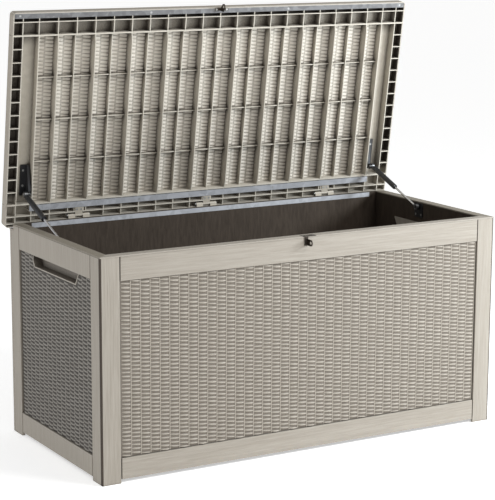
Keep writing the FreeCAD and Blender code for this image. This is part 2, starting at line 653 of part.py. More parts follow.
def box_leaf(centre):
    """The fixed leaf: a plate on the back of the inner lip with two arms to the outer knuckles."""
    plate = block(centre - BOX_LEAF_HALF_WIDTH, centre + BOX_LEAF_HALF_WIDTH, LEDGE_Y, LEDGE_Y + LEAF,
                  LEDGE_TOP + LEAF_MARGIN, BODY_HEIGHT - LEAF_MARGIN)
    arm_end = HINGE_Y - KNUCKLE_RADIUS + ARM_BITE
    pieces = [plate]
    for sign in (-1, 1):
        near = LID_KNUCKLE_HALF + KNUCKLE_END_GAP
        x0, x1 = sorted((centre + sign * near, centre + sign * BOX_LEAF_HALF_WIDTH))
        shelf_top = BODY_HEIGHT - LEAF
        pieces.append(block(x0, x1, LEDGE_Y, arm_end, shelf_top - LEAF, shelf_top))
        pieces.append(block(x0, x1, arm_end - LEAF, arm_end, shelf_top - LEAF, HINGE_Z))
        pieces.append(knuckle(x0, x1))
    return join(pieces).cut(pin_bore(centre))


def lid_leaf(centre):
    """The moving leaf: a plate screwed under the lid's hinge pad, with the middle knuckle."""
    d0 = HINGE_FROM_LID_BACK
    plate = lid_block(centre - LID_KNUCKLE_HALF, centre + LID_KNUCKLE_HALF, d0, d0 + LID_LEAF_LENGTH,
                      LID_LEAF_INSET, LID_LEAF_INSET + LEAF)
    return join([plate, knuckle(centre - LID_KNUCKLE_HALF, centre + LID_KNUCKLE_HALF)]).cut(pin_bore(centre))


def hinge_pin(centre):
    """A headed pin that stays in the fixed leaf."""
    reach = BOX_LEAF_HALF_WIDTH + KNUCKLE_END_GAP
    start = Vector(centre - reach, HINGE_Y, HINGE_Z)
    shaft = rod_along(start, Vector(1, 0, 0), 2 * reach, PIN_RADIUS)
    head = rod_along(start - Vector(LEAF, 0, 0), Vector(1, 0, 0), LEAF, PIN_HEAD_RADIUS)
    tail = rod_along(start + Vector(2 * reach, 0, 0), Vector(1, 0, 0), LEAF / 2, PIN_HEAD_RADIUS)
    return join([shaft, head, tail])


def box_hinge_screws():
    z = (LEDGE_TOP + BODY_HEIGHT) / 2 - LEAF
    spread = BOX_LEAF_SCREW_SPREAD
    return [screw(Vector(x + sign * spread, LEDGE_Y + LEAF, z), Vector(0, -1, 0), BOX_LEAF_SCREW_LENGTH)
            for x in HINGE_CENTRES for sign in (-1, 1)]


def lid_hinge_screws():
    d = HINGE_FROM_LID_BACK + LID_LEAF_LENGTH - 2 * SCREW_HEAD_RADIUS
    return [screw(lid_point(x + sign * LID_LEAF_SCREW_SPREAD, d, LID_LEAF_INSET), Vector(0, 0, 1))
            for x in HINGE_CENTRES for sign in (-1, 1)]


# Gas struts, drawn on the right and mirrored to the left

def lid_pivot_open():
    """Where the strut's lid pivot is when the lid is open."""
    closed = Vector(STRUT_X, LID_HALF_DEPTH - STRUT_LID_PIVOT, RIM_PLANE)
    turn = Placement(Vector(0, 0, 0), Rotation(Vector(1, 0, 0), -LID_OPEN_ANGLE), Vector(0, HINGE_Y, HINGE_Z))
    return turn.multVec(closed)


def strut_direction():
    return (STRUT_WALL_PIVOT - lid_pivot_open()).normalize()


def along_strut(distance):
    return lid_pivot_open() + strut_direction() * distance


def eye(pivot, inward, hole_radius):
    """A strut end: a flat ring around the pivot and a neck that runs along inward."""
    ring = rod_along(pivot - Vector(EYE_THICKNESS / 2, 0, 0), Vector(1, 0, 0), EYE_THICKNESS, EYE_RADIUS)
    neck = rod_along(pivot, inward, TUBE_START, EYE_NECK_RADIUS)
    hole = rod_along(pivot - Vector(EYE_THICKNESS, 0, 0), Vector(1, 0, 0), 2 * EYE_THICKNESS, hole_radius)
    return join([ring, neck]).cut(hole)


def strut_tube():
    """The pressure tube: closed at the lid end, with a guide for the rod at the other."""
    direction = strut_direction()
    length = TUBE_END - TUBE_START
    outer = rod_along(along_strut(TUBE_START), direction, length, TUBE_RADIUS)
    cap = TUBE_CAP
    chamber = rod_along(along_strut(TUBE_START + cap), direction, length - 2 * cap, TUBE_RADIUS - TUBE_WALL)
    guide = rod_along(along_strut(TUBE_END - 2 * cap), direction, 3 * cap, ROD_RADIUS + RUNNING_GAP)
    return outer.cut(join([chamber, guide]))


def strut_tube_eye():
    return eye(lid_pivot_open(), strut_direction(), STRUT_PIN_RADIUS + RUNNING_GAP)


def open_length():
    return (STRUT_WALL_PIVOT - lid_pivot_open()).Length


def strut_rod():
    start = TUBE_END - ROD_ENGAGED
    end = open_length() - TUBE_START
    return rod_along(along_strut(start), strut_direction(), end - start, ROD_RADIUS)


def strut_rod_eye():
    return eye(STRUT_WALL_PIVOT, strut_direction() * -1, STRUT_PIN_RADIUS)


def wall_bracket():
    """The plate on the end wall whose stud points at the rod's eye and stops just short of it."""
    pivot = STRUT_WALL_PIVOT
    plate = block(INNER_X - BRACKET, INNER_X, pivot.y - WALL_PLATE_HALF, pivot.y + WALL_PLATE_HALF,
                  pivot.z - WALL_PLATE_DROP, pivot.z + WALL_PLATE_RISE)
    plate = soften(plate, WALL_PLATE_ROUND, lambda edge: abs(edge.BoundBox.XLength - BRACKET) < SAME_PLACE)
    eye_face = STRUT_X + EYE_THICKNESS / 2
    stud = rod_along(Vector(eye_face + STUD_GAP, pivot.y, pivot.z), Vector(1, 0, 0),
                     INNER_X - eye_face - STUD_GAP, STRUT_PIN_RADIUS)
    collar = rod_along(Vector(INNER_X - BRACKET - COLLAR_HEIGHT, pivot.y, pivot.z), Vector(1, 0, 0),
                       COLLAR_HEIGHT + BRACKET, COLLAR_RADIUS)
    return join([plate, stud, collar])


def wall_bracket_screws():
    pivot = STRUT_WALL_PIVOT
    z = pivot.z - WALL_SCREW_DROP
    return [screw(Vector(INNER_X - BRACKET, pivot.y + sign * WALL_SCREW_SPREAD, z), Vector(1, 0, 0))
            for sign in (-1, 1)]


def lid_bracket():
    """The arm under the lid, in closed-lid coordinates: a base flange, a side plate and a small return."""
    lug_inner = LID_ARM_INNER
    pivot_d = STRUT_LID_PIVOT
    far_d = pivot_d + LID_ARM_LENGTH
    ceiling = FIELD_CEILING
    base = lid_block(lug_inner, STRUT_X + TUBE_RADIUS, pivot_d - EYE_RADIUS, far_d, ceiling - BRACKET, ceiling)
    profile = [(pivot_d - EYE_RADIUS, ceiling), (far_d, ceiling), (far_d, ceiling - LID_ARM_END_DEPTH),
               (pivot_d + EYE_RADIUS, 0), (pivot_d - EYE_RADIUS, 0)]
    lug = prism([lid_point(lug_inner, d, h) for d, h in profile], Vector(BRACKET, 0, 0))
    tip = rod_along(lid_point(lug_inner, pivot_d, 0), Vector(1, 0, 0), BRACKET, EYE_RADIUS)
    flange = prism([lid_point(lug_inner - LID_ARM_RETURN, d, h) for d, h in
                    [(pivot_d + EYE_RADIUS, 0), (far_d, ceiling - LID_ARM_END_DEPTH),
                     (far_d, ceiling - LID_ARM_END_DEPTH + BRACKET), (pivot_d + EYE_RADIUS, BRACKET)]],
                   Vector(LID_ARM_RETURN, 0, 0))
    bore = rod_along(lid_point(lug_inner - CUT, pivot_d, 0), Vector(1, 0, 0), BRACKET + 2 * CUT,
                     STRUT_PIN_RADIUS)
    return join([base, lug, tip, flange]).cut(bore)


def lid_bracket_screws():
    return [screw(lid_point(STRUT_X, STRUT_LID_PIVOT + along, FIELD_CEILING - BRACKET),
                  Vector(0, 0, 1)) for along in LID_ARM_SCREWS]


def lid_strut_pin():
    """The pin through the arm and the tube's eye, with a spacer between them and a clip outside."""
    lug_inner = LID_ARM_INNER
    lug_outer = lug_inner + BRACKET
    eye_inner = STRUT_X - EYE_THICKNESS / 2
    eye_outer = STRUT_X + EYE_THICKNESS / 2
    along = Vector(1, 0, 0)
    d = STRUT_LID_PIVOT
    gap = 2 * RUNNING_GAP
    head = rod_along(lid_point(lug_inner - LEAF, d, 0), along, LEAF, LID_PIN_HEAD_RADIUS)
    shaft = rod_along(lid_point(lug_inner, d, 0), along, eye_outer + gap + LEAF - lug_inner, STRUT_PIN_RADIUS)
    spacer = rod_along(lid_point(lug_outer, d, 0), along, eye_inner - gap - lug_outer, LID_PIN_HEAD_RADIUS)
    clip = rod_along(lid_point(eye_outer + gap, d, 0), along, LEAF, CLIP_RADIUS)
    return join([head, shaft, spacer, clip])


# The padlock latch

def eye_tab(x, anchor):
    """A padlock tab in the plane across the bench: a ring around the hole, tied to its anchor points."""
    centre = Vector(x, LATCH_HOLE_Y, LATCH_HOLE_Z)
    along = Vector(1, 0, 0)
    ring = rod_along(centre, along, LATCH_EYE_SHEET, LATCH_EYE_RADIUS)
    outline = [Vector(x, y, z) for y, z in anchor]
    web = prism(outline, Vector(LATCH_EYE_SHEET, 0, 0))
    hole = rod_along(centre - Vector(CUT, 0, 0), along, LATCH_EYE_SHEET + 2 * CUT, LATCH_HOLE_RADIUS)
    return join([ring, web]).cut(hole)


def latch_keeper():
    """The fixed half of the padlock latch: a plate let into the rim, a strap down and an eye."""
    face = -HALF_WIDTH - RIM_LIP
    plate = block(-LATCH_PLATE_HALF, LATCH_PLATE_HALF, face, -HALF_WIDTH + KEEPER_DEPTH,
                  BODY_HEIGHT - LATCH_SHEET, BODY_HEIGHT)
    strap = block(KEEPER_EYE_X - KEEPER_STRAP_SIDE, KEEPER_EYE_X + LATCH_EYE_SHEET, face - LATCH_SHEET, face,
                  LATCH_HOLE_Z - LATCH_EYE_RADIUS, BODY_HEIGHT)
    strap_root = block(KEEPER_EYE_X - KEEPER_STRAP_SIDE, KEEPER_EYE_X + LATCH_EYE_SHEET, face - LATCH_SHEET,
                       face + RIM_LIP, BODY_HEIGHT - LATCH_SHEET, BODY_HEIGHT)
    low = LATCH_HOLE_Z - LATCH_EYE_RADIUS
    high = LATCH_HOLE_Z + LATCH_EYE_RADIUS
    tab = eye_tab(KEEPER_EYE_X, [(face, low), (face, high), (LATCH_HOLE_Y, high), (LATCH_HOLE_Y, low)])
    return join([plate, strap, strap_root, tab])


def keeper_screws():
    y = -HALF_WIDTH + KEEPER_DEPTH / 2
    x = LATCH_PLATE_HALF - LATCH_SCREW_MARGIN
    return [screw(Vector(sign * x, y, BODY_HEIGHT), Vector(0, 0, -1)) for sign in (-1, 1)]


def latch_eye():
    """The lid half of the latch: a plate under the front bar and an eye that hangs beside the keeper's."""
    clear = -HALF_WIDTH - RIM_LIP - LATCH_SHEET - LATCH_SIDE_GAP
    front = -LID_HALF_DEPTH + FRONT_BAR_INSET
    x = KEEPER_EYE_X + LATCH_EYE_SHEET + LATCH_SIDE_GAP
    plate = block(-LATCH_PLATE_HALF, LATCH_PLATE_HALF, front, clear, RIM_PLANE - LATCH_SHEET, RIM_PLANE)
    tab = eye_tab(x, [(clear, RIM_PLANE), (front, RIM_PLANE), (LATCH_HOLE_Y - LATCH_EYE_RADIUS, LATCH_HOLE_Z),
                      (LATCH_HOLE_Y, LATCH_HOLE_Z - LATCH_EYE_RADIUS), (clear, LATCH_HOLE_Z)])
    return join([plate, tab])


def latch_eye_screws():
    y = (-HALF_WIDTH - RIM_LIP - LATCH_SHEET - LATCH_SIDE_GAP - LID_HALF_DEPTH + FRONT_BAR_INSET) / 2
    x = LATCH_PLATE_HALF - LATCH_SCREW_MARGIN
    return [screw(Vector(sign * x, y, RIM_PLANE - LATCH_SHEET), Vector(0, 0, 1)) for sign in (-1, 1)]


# Assembly

def body_nodes():
    nodes = {"floor_panel": floor_panel(), "front_core": front_core(), "back_core": back_core(),
             "back_rim_bar": back_rim_bar()}
    nodes["front_top_rail"] = front_top_rail()
    nodes["back_top_rail"] = back_top_rail()
    nodes["front_bottom_rail"] = bottom_rail(long_rail_half(), HALF_WIDTH, 0)
    nodes["back_bottom_rail"] = bottom_rail(long_rail_half(), HALF_WIDTH, 180)
    nodes["front_wicker_panel"] = wicker_panel(long_rail_half(), HALF_WIDTH)
    nodes["back_wicker_panel"] = turned_about_z(wicker_panel(long_rail_half(), HALF_WIDTH), 180)
    for side, sign in (("left", -1), ("right", 1)):
        nodes[side + "_core"] = side_core(sign)
        nodes[side + "_handle_pocket"] = handle_pocket(sign)
        nodes[side + "_top_rail"] = side_top_rail(sign)
        nodes[side + "_bottom_rail"] = bottom_rail(end_rail_half(), HALF_LENGTH, sign * 90)
        nodes[side + "_wicker_panel"] = side_wicker_panel(sign)
        for face, way in (("front", -1), ("back", 1)):
            nodes[face + "_" + side + "_post"] = long_post(sign, way)
            nodes[side + "_" + face + "_post"] = end_post(sign, way)
            nodes[face + "_" + side + "_corner_angle"] = corner_angle(sign, way)
    return nodes


def hinge_nodes():
    nodes = {}
    for name, x in zip(("left", "middle", "right"), HINGE_CENTRES):
        nodes[name + "_hinge_box_leaf"] = box_leaf(x)
        nodes[name + "_hinge_lid_leaf"] = opened(lid_leaf(x))
    nodes["hinge_pins"] = Part.makeCompound([hinge_pin(x) for x in HINGE_CENTRES])
    return nodes


def strut_nodes():
    right = {"strut_tube": strut_tube(), "strut_tube_eye": strut_tube_eye(), "strut_rod": strut_rod(),
             "strut_rod_eye": strut_rod_eye(), "strut_wall_bracket": wall_bracket(),
             "strut_lid_bracket": opened(lid_bracket())}
    nodes = {}
    for name, shape in right.items():
        nodes["right_" + name] = shape
        nodes["left_" + name] = mirrored_x(shape)
    pin = opened(lid_strut_pin())
    nodes["strut_lid_pins"] = Part.makeCompound([pin, mirrored_x(pin)])
    return nodes


def both_sides(shapes):
    return shapes + [mirrored_x(shape) for shape in shapes]


def bored(shape, screws):
    """Open the holes that a piece's screws pass through."""
    return shape.cut(Part.makeCompound(screws))


def main():
    nodes = body_nodes()
    nodes.update(hinge_nodes())
    nodes.update(strut_nodes())
    nodes["latch_keeper"] = latch_keeper()
    nodes["latch_eye"] = opened(latch_eye())

    box_screws = box_hinge_screws() + both_sides(wall_bracket_screws()) + keeper_screws()
    lid_screws = bar_screws() + lid_hinge_screws() + both_sides(lid_bracket_screws()) + latch_eye_screws()
    nodes["lid_shell"] = opened(lid_shell(lid_screws))
    nodes["front_bar"] = opened(front_bar())
    nodes["rear_bar"] = opened(rear_bar())

    opened_screws = [opened(shape) for shape in lid_screws]
    held_by_box = ["back_core", "back_rim_bar", "left_core", "right_core", "front_top_rail", "front_core",
                   "latch_keeper", "left_strut_wall_bracket", "right_strut_wall_bracket"]
    held_by_lid = ["front_bar", "rear_bar", "latch_eye", "left_strut_lid_bracket", "right_strut_lid_bracket"]
    for name in ("left", "middle", "right"):
        held_by_box.append(name + "_hinge_box_leaf")
        held_by_lid.append(name + "_hinge_lid_leaf")
    for name in held_by_box:
        nodes[name] = bored(nodes[name], box_screws)
    for name in held_by_lid:
        nodes[name] = bored(nodes[name], opened_screws)
    nodes["box_screws"] = Part.makeCompound(box_screws)
    nodes["lid_screws"] = Part.makeCompound(opened_screws)

    os.makedirs("parts", exist_ok=True)
    for name, shape in nodes.items():
        shape.exportStep("parts/" + name + ".step")
    print(len(nodes), "nodes")


main()
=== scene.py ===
import json
import math
import bpy
from mathutils import Matrix, Vector


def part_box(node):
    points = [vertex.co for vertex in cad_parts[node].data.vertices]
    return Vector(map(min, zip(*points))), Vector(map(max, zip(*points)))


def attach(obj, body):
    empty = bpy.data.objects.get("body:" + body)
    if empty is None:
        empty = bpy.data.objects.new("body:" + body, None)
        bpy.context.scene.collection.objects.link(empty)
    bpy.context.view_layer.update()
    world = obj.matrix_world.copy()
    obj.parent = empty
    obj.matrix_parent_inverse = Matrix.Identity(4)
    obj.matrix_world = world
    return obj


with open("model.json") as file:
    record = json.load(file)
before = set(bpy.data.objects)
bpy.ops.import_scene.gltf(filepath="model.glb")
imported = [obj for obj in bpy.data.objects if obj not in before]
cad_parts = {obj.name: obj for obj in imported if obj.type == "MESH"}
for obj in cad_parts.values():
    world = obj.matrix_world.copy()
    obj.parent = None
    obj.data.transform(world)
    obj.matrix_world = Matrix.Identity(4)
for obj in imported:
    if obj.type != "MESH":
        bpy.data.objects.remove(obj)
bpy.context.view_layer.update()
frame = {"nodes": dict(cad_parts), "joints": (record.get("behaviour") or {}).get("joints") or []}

nodes = frame["nodes"]
lidJoint = next(joint for joint in frame["joints"] if joint["name"] == "lid_hinge")
hingeY, hingeZ = lidJoint["pos_m"][1:]
openAngle = math.radians(lidJoint["range_deg"][1])

# the body's main planes, read from the frame
halfLength = -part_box("left_front_post")[0].x
halfWidth = -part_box("front_left_post")[0].y
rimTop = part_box("front_top_rail")[1].z

lidPlan = {
    "sideOverhang": 0.017,
    "edgeOverhang": 0.013,
    "restGap": 0.001,
    "height": 0.031,
    "recess": 0.0035,
    "ceiling": 0.024,
    "border": 0.062,
    "fieldHalf": 0.542,
    "skinMargin": 0.002,
}
lidDepth = 2 * (halfWidth + lidPlan["edgeOverhang"])
lidHalfLength = halfLength + lidPlan["sideOverhang"]


# a point of the lid, brought to its open place: d runs forward from the lid's back edge and
# h runs up from its rim plane, both as with the lid shut
def lidPlace(x, d, h):
    y = halfWidth + lidPlan["edgeOverhang"] - d - hingeY
    z = rimTop + lidPlan["restGap"] + h - hingeZ
    c, s = math.cos(-openAngle), math.sin(-openAngle)
    return Vector((x, hingeY + y * c - z * s, hingeZ + y * s + z * c))


def addObject(name, mesh):
    obj = bpy.data.objects.new(name, mesh)
    bpy.context.scene.collection.objects.link(obj)
    return obj


def joinLinks(tree, *pairs):
    for source, target in pairs:
        tree.links.new(source, target)


def addNode(tree, kind, **settings):
    node = tree.nodes.new(kind)
    for key, value in settings.items():
        setattr(node, key, value)
    return node


# one math node, with numbers or sockets as its inputs
def mathNode(tree, operation, *values):
    node = addNode(tree, "ShaderNodeMath", operation=operation)
    for socket, value in zip(node.inputs, values):
        if isinstance(value, (int, float)):
            socket.default_value = value
        else:
            tree.links.new(value, socket)
    return node.outputs[0]


def multiply(tree, *values):
    return mathNode(tree, "MULTIPLY", *values)


# one vector math node; a dot product gives its number
def vectorNode(tree, operation, *sources):
    node = addNode(tree, "ShaderNodeVectorMath", operation=operation)
    for socket, source in zip(node.inputs, sources):
        tree.links.new(source, socket)
    return node.outputs["Value" if operation == "DOT_PRODUCT" else "Vector"]


def splitVector(tree, source):
    node = addNode(tree, "ShaderNodeSeparateXYZ")
    tree.links.new(source, node.inputs[0])
    return node.outputs


def joinVector(tree, **parts):
    node = addNode(tree, "ShaderNodeCombineXYZ")
    for axis, value in parts.items():
        if isinstance(value, (int, float)):
            node.inputs[axis].default_value = value
        else:
            tree.links.new(value, node.inputs[axis])
    return node.outputs[0]


def objectPoint(tree):
    return addNode(tree, "ShaderNodeTexCoord").outputs["Object"]


# a noise texture; a scale given as a socket is linked
def noiseNode(tree, source, scale, detail, **more):
    node = addNode(tree, "ShaderNodeTexNoise")
    node.inputs["Detail"].default_value = detail
    for label, value in more.items():
        node.inputs[label].default_value = value
    if isinstance(scale, (int, float)):
        node.inputs["Scale"].default_value = scale
    else:
        tree.links.new(scale, node.inputs["Scale"])
    tree.links.new(source, node.inputs["Vector"])
    return node.outputs["Fac"]


# bring a value from one range into another, clamped; the ends are numbers or sockets
def rangeNode(tree, value, ends, smooth=False):
    kind = "SMOOTHSTEP" if smooth else "LINEAR"
    node = addNode(tree, "ShaderNodeMapRange", interpolation_type=kind)
    tree.links.new(value, node.inputs["Value"])
    for label, end in ends.items():
        if isinstance(end, (int, float)):
            node.inputs[label].default_value = end
        else:
            tree.links.new(end, node.inputs[label])
    return node.outputs["Result"]


# start a shader group: its inputs as (name, kind, value), its outputs as (name, kind)
def newGroup(name, inputs, outputs):
    group = bpy.data.node_groups.new(name, "ShaderNodeTree")
    for label, kind, value in inputs:
        socket = group.interface.new_socket(name=label, in_out="INPUT", socket_type=kind)
        if value is not None:
            socket.default_value = value
    for label, kind in outputs:
        group.interface.new_socket(name=label, in_out="OUTPUT", socket_type=kind)
    return group, group.nodes.new("NodeGroupInput"), group.nodes.new("NodeGroupOutput")


# streaks like brushed wood, moulded into resin; Stretch sets which way they run
grainLook = {
    "detail": 5.0,
    "roughness": 0.62,
    "distortion": 0.35,
    "broadScale": 0.9,
    "broadDetail": 2.0,
    "contrast": (0.34, 0.66),
    "fineShare": 0.6,
    "broadShare": 0.4,
}


def buildGrain():
    group, entry, leave = newGroup("mouldedGrain", [
        ("Stretch", "NodeSocketVector", (60.0, 60.0, 3.0)),
        ("Density", "NodeSocketFloat", 6.0),
    ], [("Tone", "NodeSocketFloat"), ("Height", "NodeSocketFloat")])
    stretched = vectorNode(group, "MULTIPLY", objectPoint(group), entry.outputs["Stretch"])
    fine = noiseNode(group, stretched, entry.outputs["Density"], grainLook["detail"],
                     Roughness=grainLook["roughness"], Distortion=grainLook["distortion"])
    broad = noiseNode(group, stretched, grainLook["broadScale"], grainLook["broadDetail"])
    low, high = grainLook["contrast"]
    lines = rangeNode(group, fine, {"From Min": low, "From Max": high})
    tone = mathNode(group, "MULTIPLY_ADD", lines, grainLook["fineShare"],
                    multiply(group, broad, grainLook["broadShare"]))
    joinLinks(group, (tone, leave.inputs["Tone"]), (lines, leave.inputs["Height"]))
    return group


# soft blotches and fine pores of moulded resin
poreLook = {"blotchDetail": 4.0, "poreDetail": 2.0}


def buildPores():
    group, entry, leave = newGroup("resinPores", [
        ("Blotch Scale", "NodeSocketFloat", 9.0),
        ("Pore Scale", "NodeSocketFloat", 900.0),
    ], [("Tone", "NodeSocketFloat"), ("Height", "NodeSocketFloat")])
    point = objectPoint(group)
    blotch = noiseNode(group, point, entry.outputs["Blotch Scale"], poreLook["blotchDetail"])
    pore = noiseNode(group, point, entry.outputs["Pore Scale"], poreLook["poreDetail"])
    joinLinks(group, (blotch, leave.inputs["Tone"]), (pore, leave.inputs["Height"]))
    return group


shadeSamples = {"wearAndHighlight": 4, "recess": 6}


# 1 on rounded edges, 0 elsewhere: the boards lighten there as a painted highlight, the coated metals
#                                  show wear
def buildEdgeWearAndHighlight():
    group, entry, leave = newGroup("edgeWear", [
        ("Radius", "NodeSocketFloat", 0.0015),
        ("Gain", "NodeSocketFloat", 5.0),
    ], [("Mask", "NodeSocketFloat")])
    bevel = addNode(group, "ShaderNodeBevel", samples=shadeSamples["wearAndHighlight"])
    joinLinks(group, (entry.outputs["Radius"], bevel.inputs["Radius"]))
    geometry = addNode(group, "ShaderNodeNewGeometry")
    agreement = vectorNode(group, "DOT_PRODUCT", bevel.outputs["Normal"], geometry.outputs["Normal"])
    bend = multiply(group, mathNode(group, "SUBTRACT", 1.0, agreement), entry.outputs["Gain"])
    mask = mathNode(group, "MAXIMUM", mathNode(group, "MINIMUM", bend, 1.0), 0.0)
    joinLinks(group, (mask, leave.inputs["Mask"]))
    return group


# thin dust on faces that look up, broken up by noise
dustLook = {"scale": 38.0, "detail": 5.0}


def buildDust():
    group, entry, leave = newGroup("settledDust", [
        ("Amount", "NodeSocketFloat", 0.25),
    ], [("Mask", "NodeSocketFloat")])
    geometry = addNode(group, "ShaderNodeNewGeometry")
    facing = splitVector(group, geometry.outputs["Normal"])
    noise = noiseNode(group, objectPoint(group), dustLook["scale"], dustLook["detail"])
    up = mathNode(group, "MAXIMUM", facing["Z"], 0.0)
    mask = multiply(group, multiply(group, up, noise), entry.outputs["Amount"])
    joinLinks(group, (mask, leave.inputs["Mask"]))
    return group


# 1 deep in a gap or a valley, 0 on open faces
def buildRecess():
    group, entry, leave = newGroup("recessShade", [
        ("Distance", "NodeSocketFloat", 0.006),
        ("Threshold", "NodeSocketFloat", 0.0),
        ("Full", "NodeSocketFloat", 1.0),
    ], [("Mask", "NodeSocketFloat")])
    openness = addNode(group, "ShaderNodeAmbientOcclusion", samples=shadeSamples["recess"])
    joinLinks(group, (entry.outputs["Distance"], openness.inputs["Distance"]))
    mask = rangeNode(group, mathNode(group, "SUBTRACT", 1.0, openness.outputs["AO"]),
                     {"From Min": entry.outputs["Threshold"], "From Max": entry.outputs["Full"]})
    joinLinks(group, (mask, leave.inputs["Mask"]))
    return group


# 1 on a band along the top of the boards, darkened as painted shade, and 1 on a painted shadow line
# just under it
rimPlan = {"capHeight": 0.003, "lineHeight": 0.0016}


def buildRim():
    group, entry, leave = newGroup("rimBand", [
        ("Bottom", "NodeSocketFloat", rimTop - rimPlan["capHeight"]),
        ("Line", "NodeSocketFloat", rimPlan["lineHeight"]),
    ], [("Top Shade", "NodeSocketFloat"), ("Line", "NodeSocketFloat")])
    height = splitVector(group, objectPoint(group))["Z"]
    cap = mathNode(group, "GREATER_THAN", height, entry.outputs["Bottom"])
    start = mathNode(group, "SUBTRACT", entry.outputs["Bottom"], entry.outputs["Line"])
    line = mathNode(group, "SUBTRACT", mathNode(group, "GREATER_THAN", height, start), cap)
    joinLinks(group, (cap, leave.inputs["Top Shade"]), (line, leave.inputs["Line"]))
    return group


# 1 at the foot of a strand, 0 on its crown; it places the painted shade between strands
def buildValley():
    group, entry, leave = newGroup("strandValley", [
        ("Start", "NodeSocketFloat", 0.35),
        ("End", "NodeSocketFloat", 0.95),
    ], [("Mask", "NodeSocketFloat")])
    depth = addNode(group, "ShaderNodeAttribute", attribute_type="GEOMETRY", attribute_name="valley")
    ends = {"From Min": entry.outputs["Start"], "From Max": entry.outputs["End"]}
    mask = rangeNode(group, depth.outputs["Fac"], ends, smooth=True)
    joinLinks(group, (mask, leave.inputs["Mask"]))
    return group


# Floor below the height Low, 1 above the height High
def buildHeight():
    group, entry, leave = newGroup("heightFade", [
        ("Low", "NodeSocketFloat", 0.0),
        ("High", "NodeSocketFloat", 1.0),
        ("Floor", "NodeSocketFloat", 0.0),
    ], [("Mask", "NodeSocketFloat")])
    mask = rangeNode(group, splitVector(group, objectPoint(group))["Z"],
                     {"From Min": entry.outputs["Low"], "From Max": entry.outputs["High"],
                      "To Min": entry.outputs["Floor"]})
    joinLinks(group, (mask, leave.inputs["Mask"]))
    return group


# Mask is 1 on the lid's outer skin, and Field is 1 on the floor of the woven field in its top
def buildCrown():
    skin = lidPlan["skinMargin"]
    origin = lidPlace(0, 0, 0)
    group, entry, leave = newGroup("lidCrown", [
        ("Foot", "NodeSocketVector", origin),
        ("Up", "NodeSocketVector", lidPlace(0, 0, 1) - origin),
        ("Forward", "NodeSocketVector", lidPlace(0, 1, 0) - origin),
        ("Height", "NodeSocketFloat", lidPlan["ceiling"] + skin),
        ("Half Length", "NodeSocketFloat", lidHalfLength - skin),
        ("Half Depth", "NodeSocketFloat", lidDepth / 2 - skin),
        ("Border", "NodeSocketFloat", lidPlan["border"] - skin),
    ], [("Mask", "NodeSocketFloat"), ("Field", "NodeSocketFloat")])
    given = entry.outputs
    point = objectPoint(group)
    fromFoot = vectorNode(group, "SUBTRACT", point, given["Foot"])
    height = vectorNode(group, "DOT_PRODUCT", fromFoot, given["Up"])
    forward = vectorNode(group, "DOT_PRODUCT", fromFoot, given["Forward"])
    offMiddle = mathNode(group, "ABSOLUTE", mathNode(group, "SUBTRACT", forward, lidDepth / 2))
    offCentre = mathNode(group, "ABSOLUTE", splitVector(group, point)["X"])
    above = mathNode(group, "GREATER_THAN", height, given["Height"])
    ends = mathNode(group, "GREATER_THAN", offCentre, given["Half Length"])
    sides = mathNode(group, "GREATER_THAN", offMiddle, given["Half Depth"])
    mask = mathNode(group, "MAXIMUM", above, mathNode(group, "MAXIMUM", ends, sides))
    inLength = mathNode(group, "LESS_THAN", offCentre,
                        mathNode(group, "SUBTRACT", given["Half Length"], given["Border"]))
    inDepth = mathNode(group, "LESS_THAN", offMiddle,
                       mathNode(group, "SUBTRACT", given["Half Depth"], given["Border"]))
    field = multiply(group, above, multiply(group, inLength, inDepth))
    joinLinks(group, (mask, leave.inputs["Mask"]), (field, leave.inputs["Field"]))
    return group


grainGroup = buildGrain()
crownGroup = buildCrown()
valleyGroup = buildValley()
heightGroup = buildHeight()
poreGroup = buildPores()
wearAndHighlightGroup = buildEdgeWearAndHighlight()
dustGroup = buildDust()
recessGroup = buildRecess()
rimGroup = buildRim()
print("shader groups built")


# place a shared effect in a material, with its inputs by name
def placeGroup(tree, group, values):
    node = addNode(tree, "ShaderNodeGroup", node_tree=group)
    for label, value in values.items():
        node.inputs[label].default_value = value
    return node.outputs


# sockets 0, 6 and 7 of the mix node are its factor and its two colours
def mixColour(tree, factor, first, second):
    node = addNode(tree, "ShaderNodeMix", data_type="RGBA")
    for index, value in ((0, factor), (6, first), (7, second)):
        if isinstance(value, (int, float)):
            node.inputs[index].default_value = value
        elif isinstance(value, tuple):
            node.inputs[index].default_value = (*value, 1.0)
        else:
            tree.links.new(value, node.inputs[index])
    return node.outputs[2]


def newMaterial(name, roughness, metallic=0.0):
    material = bpy.data.materials.new(name)
    material.use_nodes = True
    shader = material.node_tree.nodes["Principled BSDF"]
    shader.inputs["Roughness"].default_value = roughness
    shader.inputs["Metallic"].default_value = metallic
    return material, shader


def bumpFrom(tree, shader, height, distance):
    bump = addNode(tree, "ShaderNodeBump")
    bump.inputs["Distance"].default_value = distance
    joinLinks(tree, (height, bump.inputs["Height"]), (bump.outputs["Normal"], shader.inputs["Normal"]))


# what all the moulded boards share; the shares say how strongly each effect colours the board
boardFinish = {
    "density": 6.0,
    "blotchScale": 5.0,
    "poreScale": 1400.0,
    "wearAndHighlightRadius": 0.0016,
    "wearAndHighlightGain": 4.0,
    "dustAmount": 0.16,
    "blotchShare": 0.22,
    "wearAndHighlightShare": 0.55,
    "capShare": 0.85,
    "lineShare": 0.8,
    "roughSpan": 0.12,
    "poreRelief": 0.25,
}
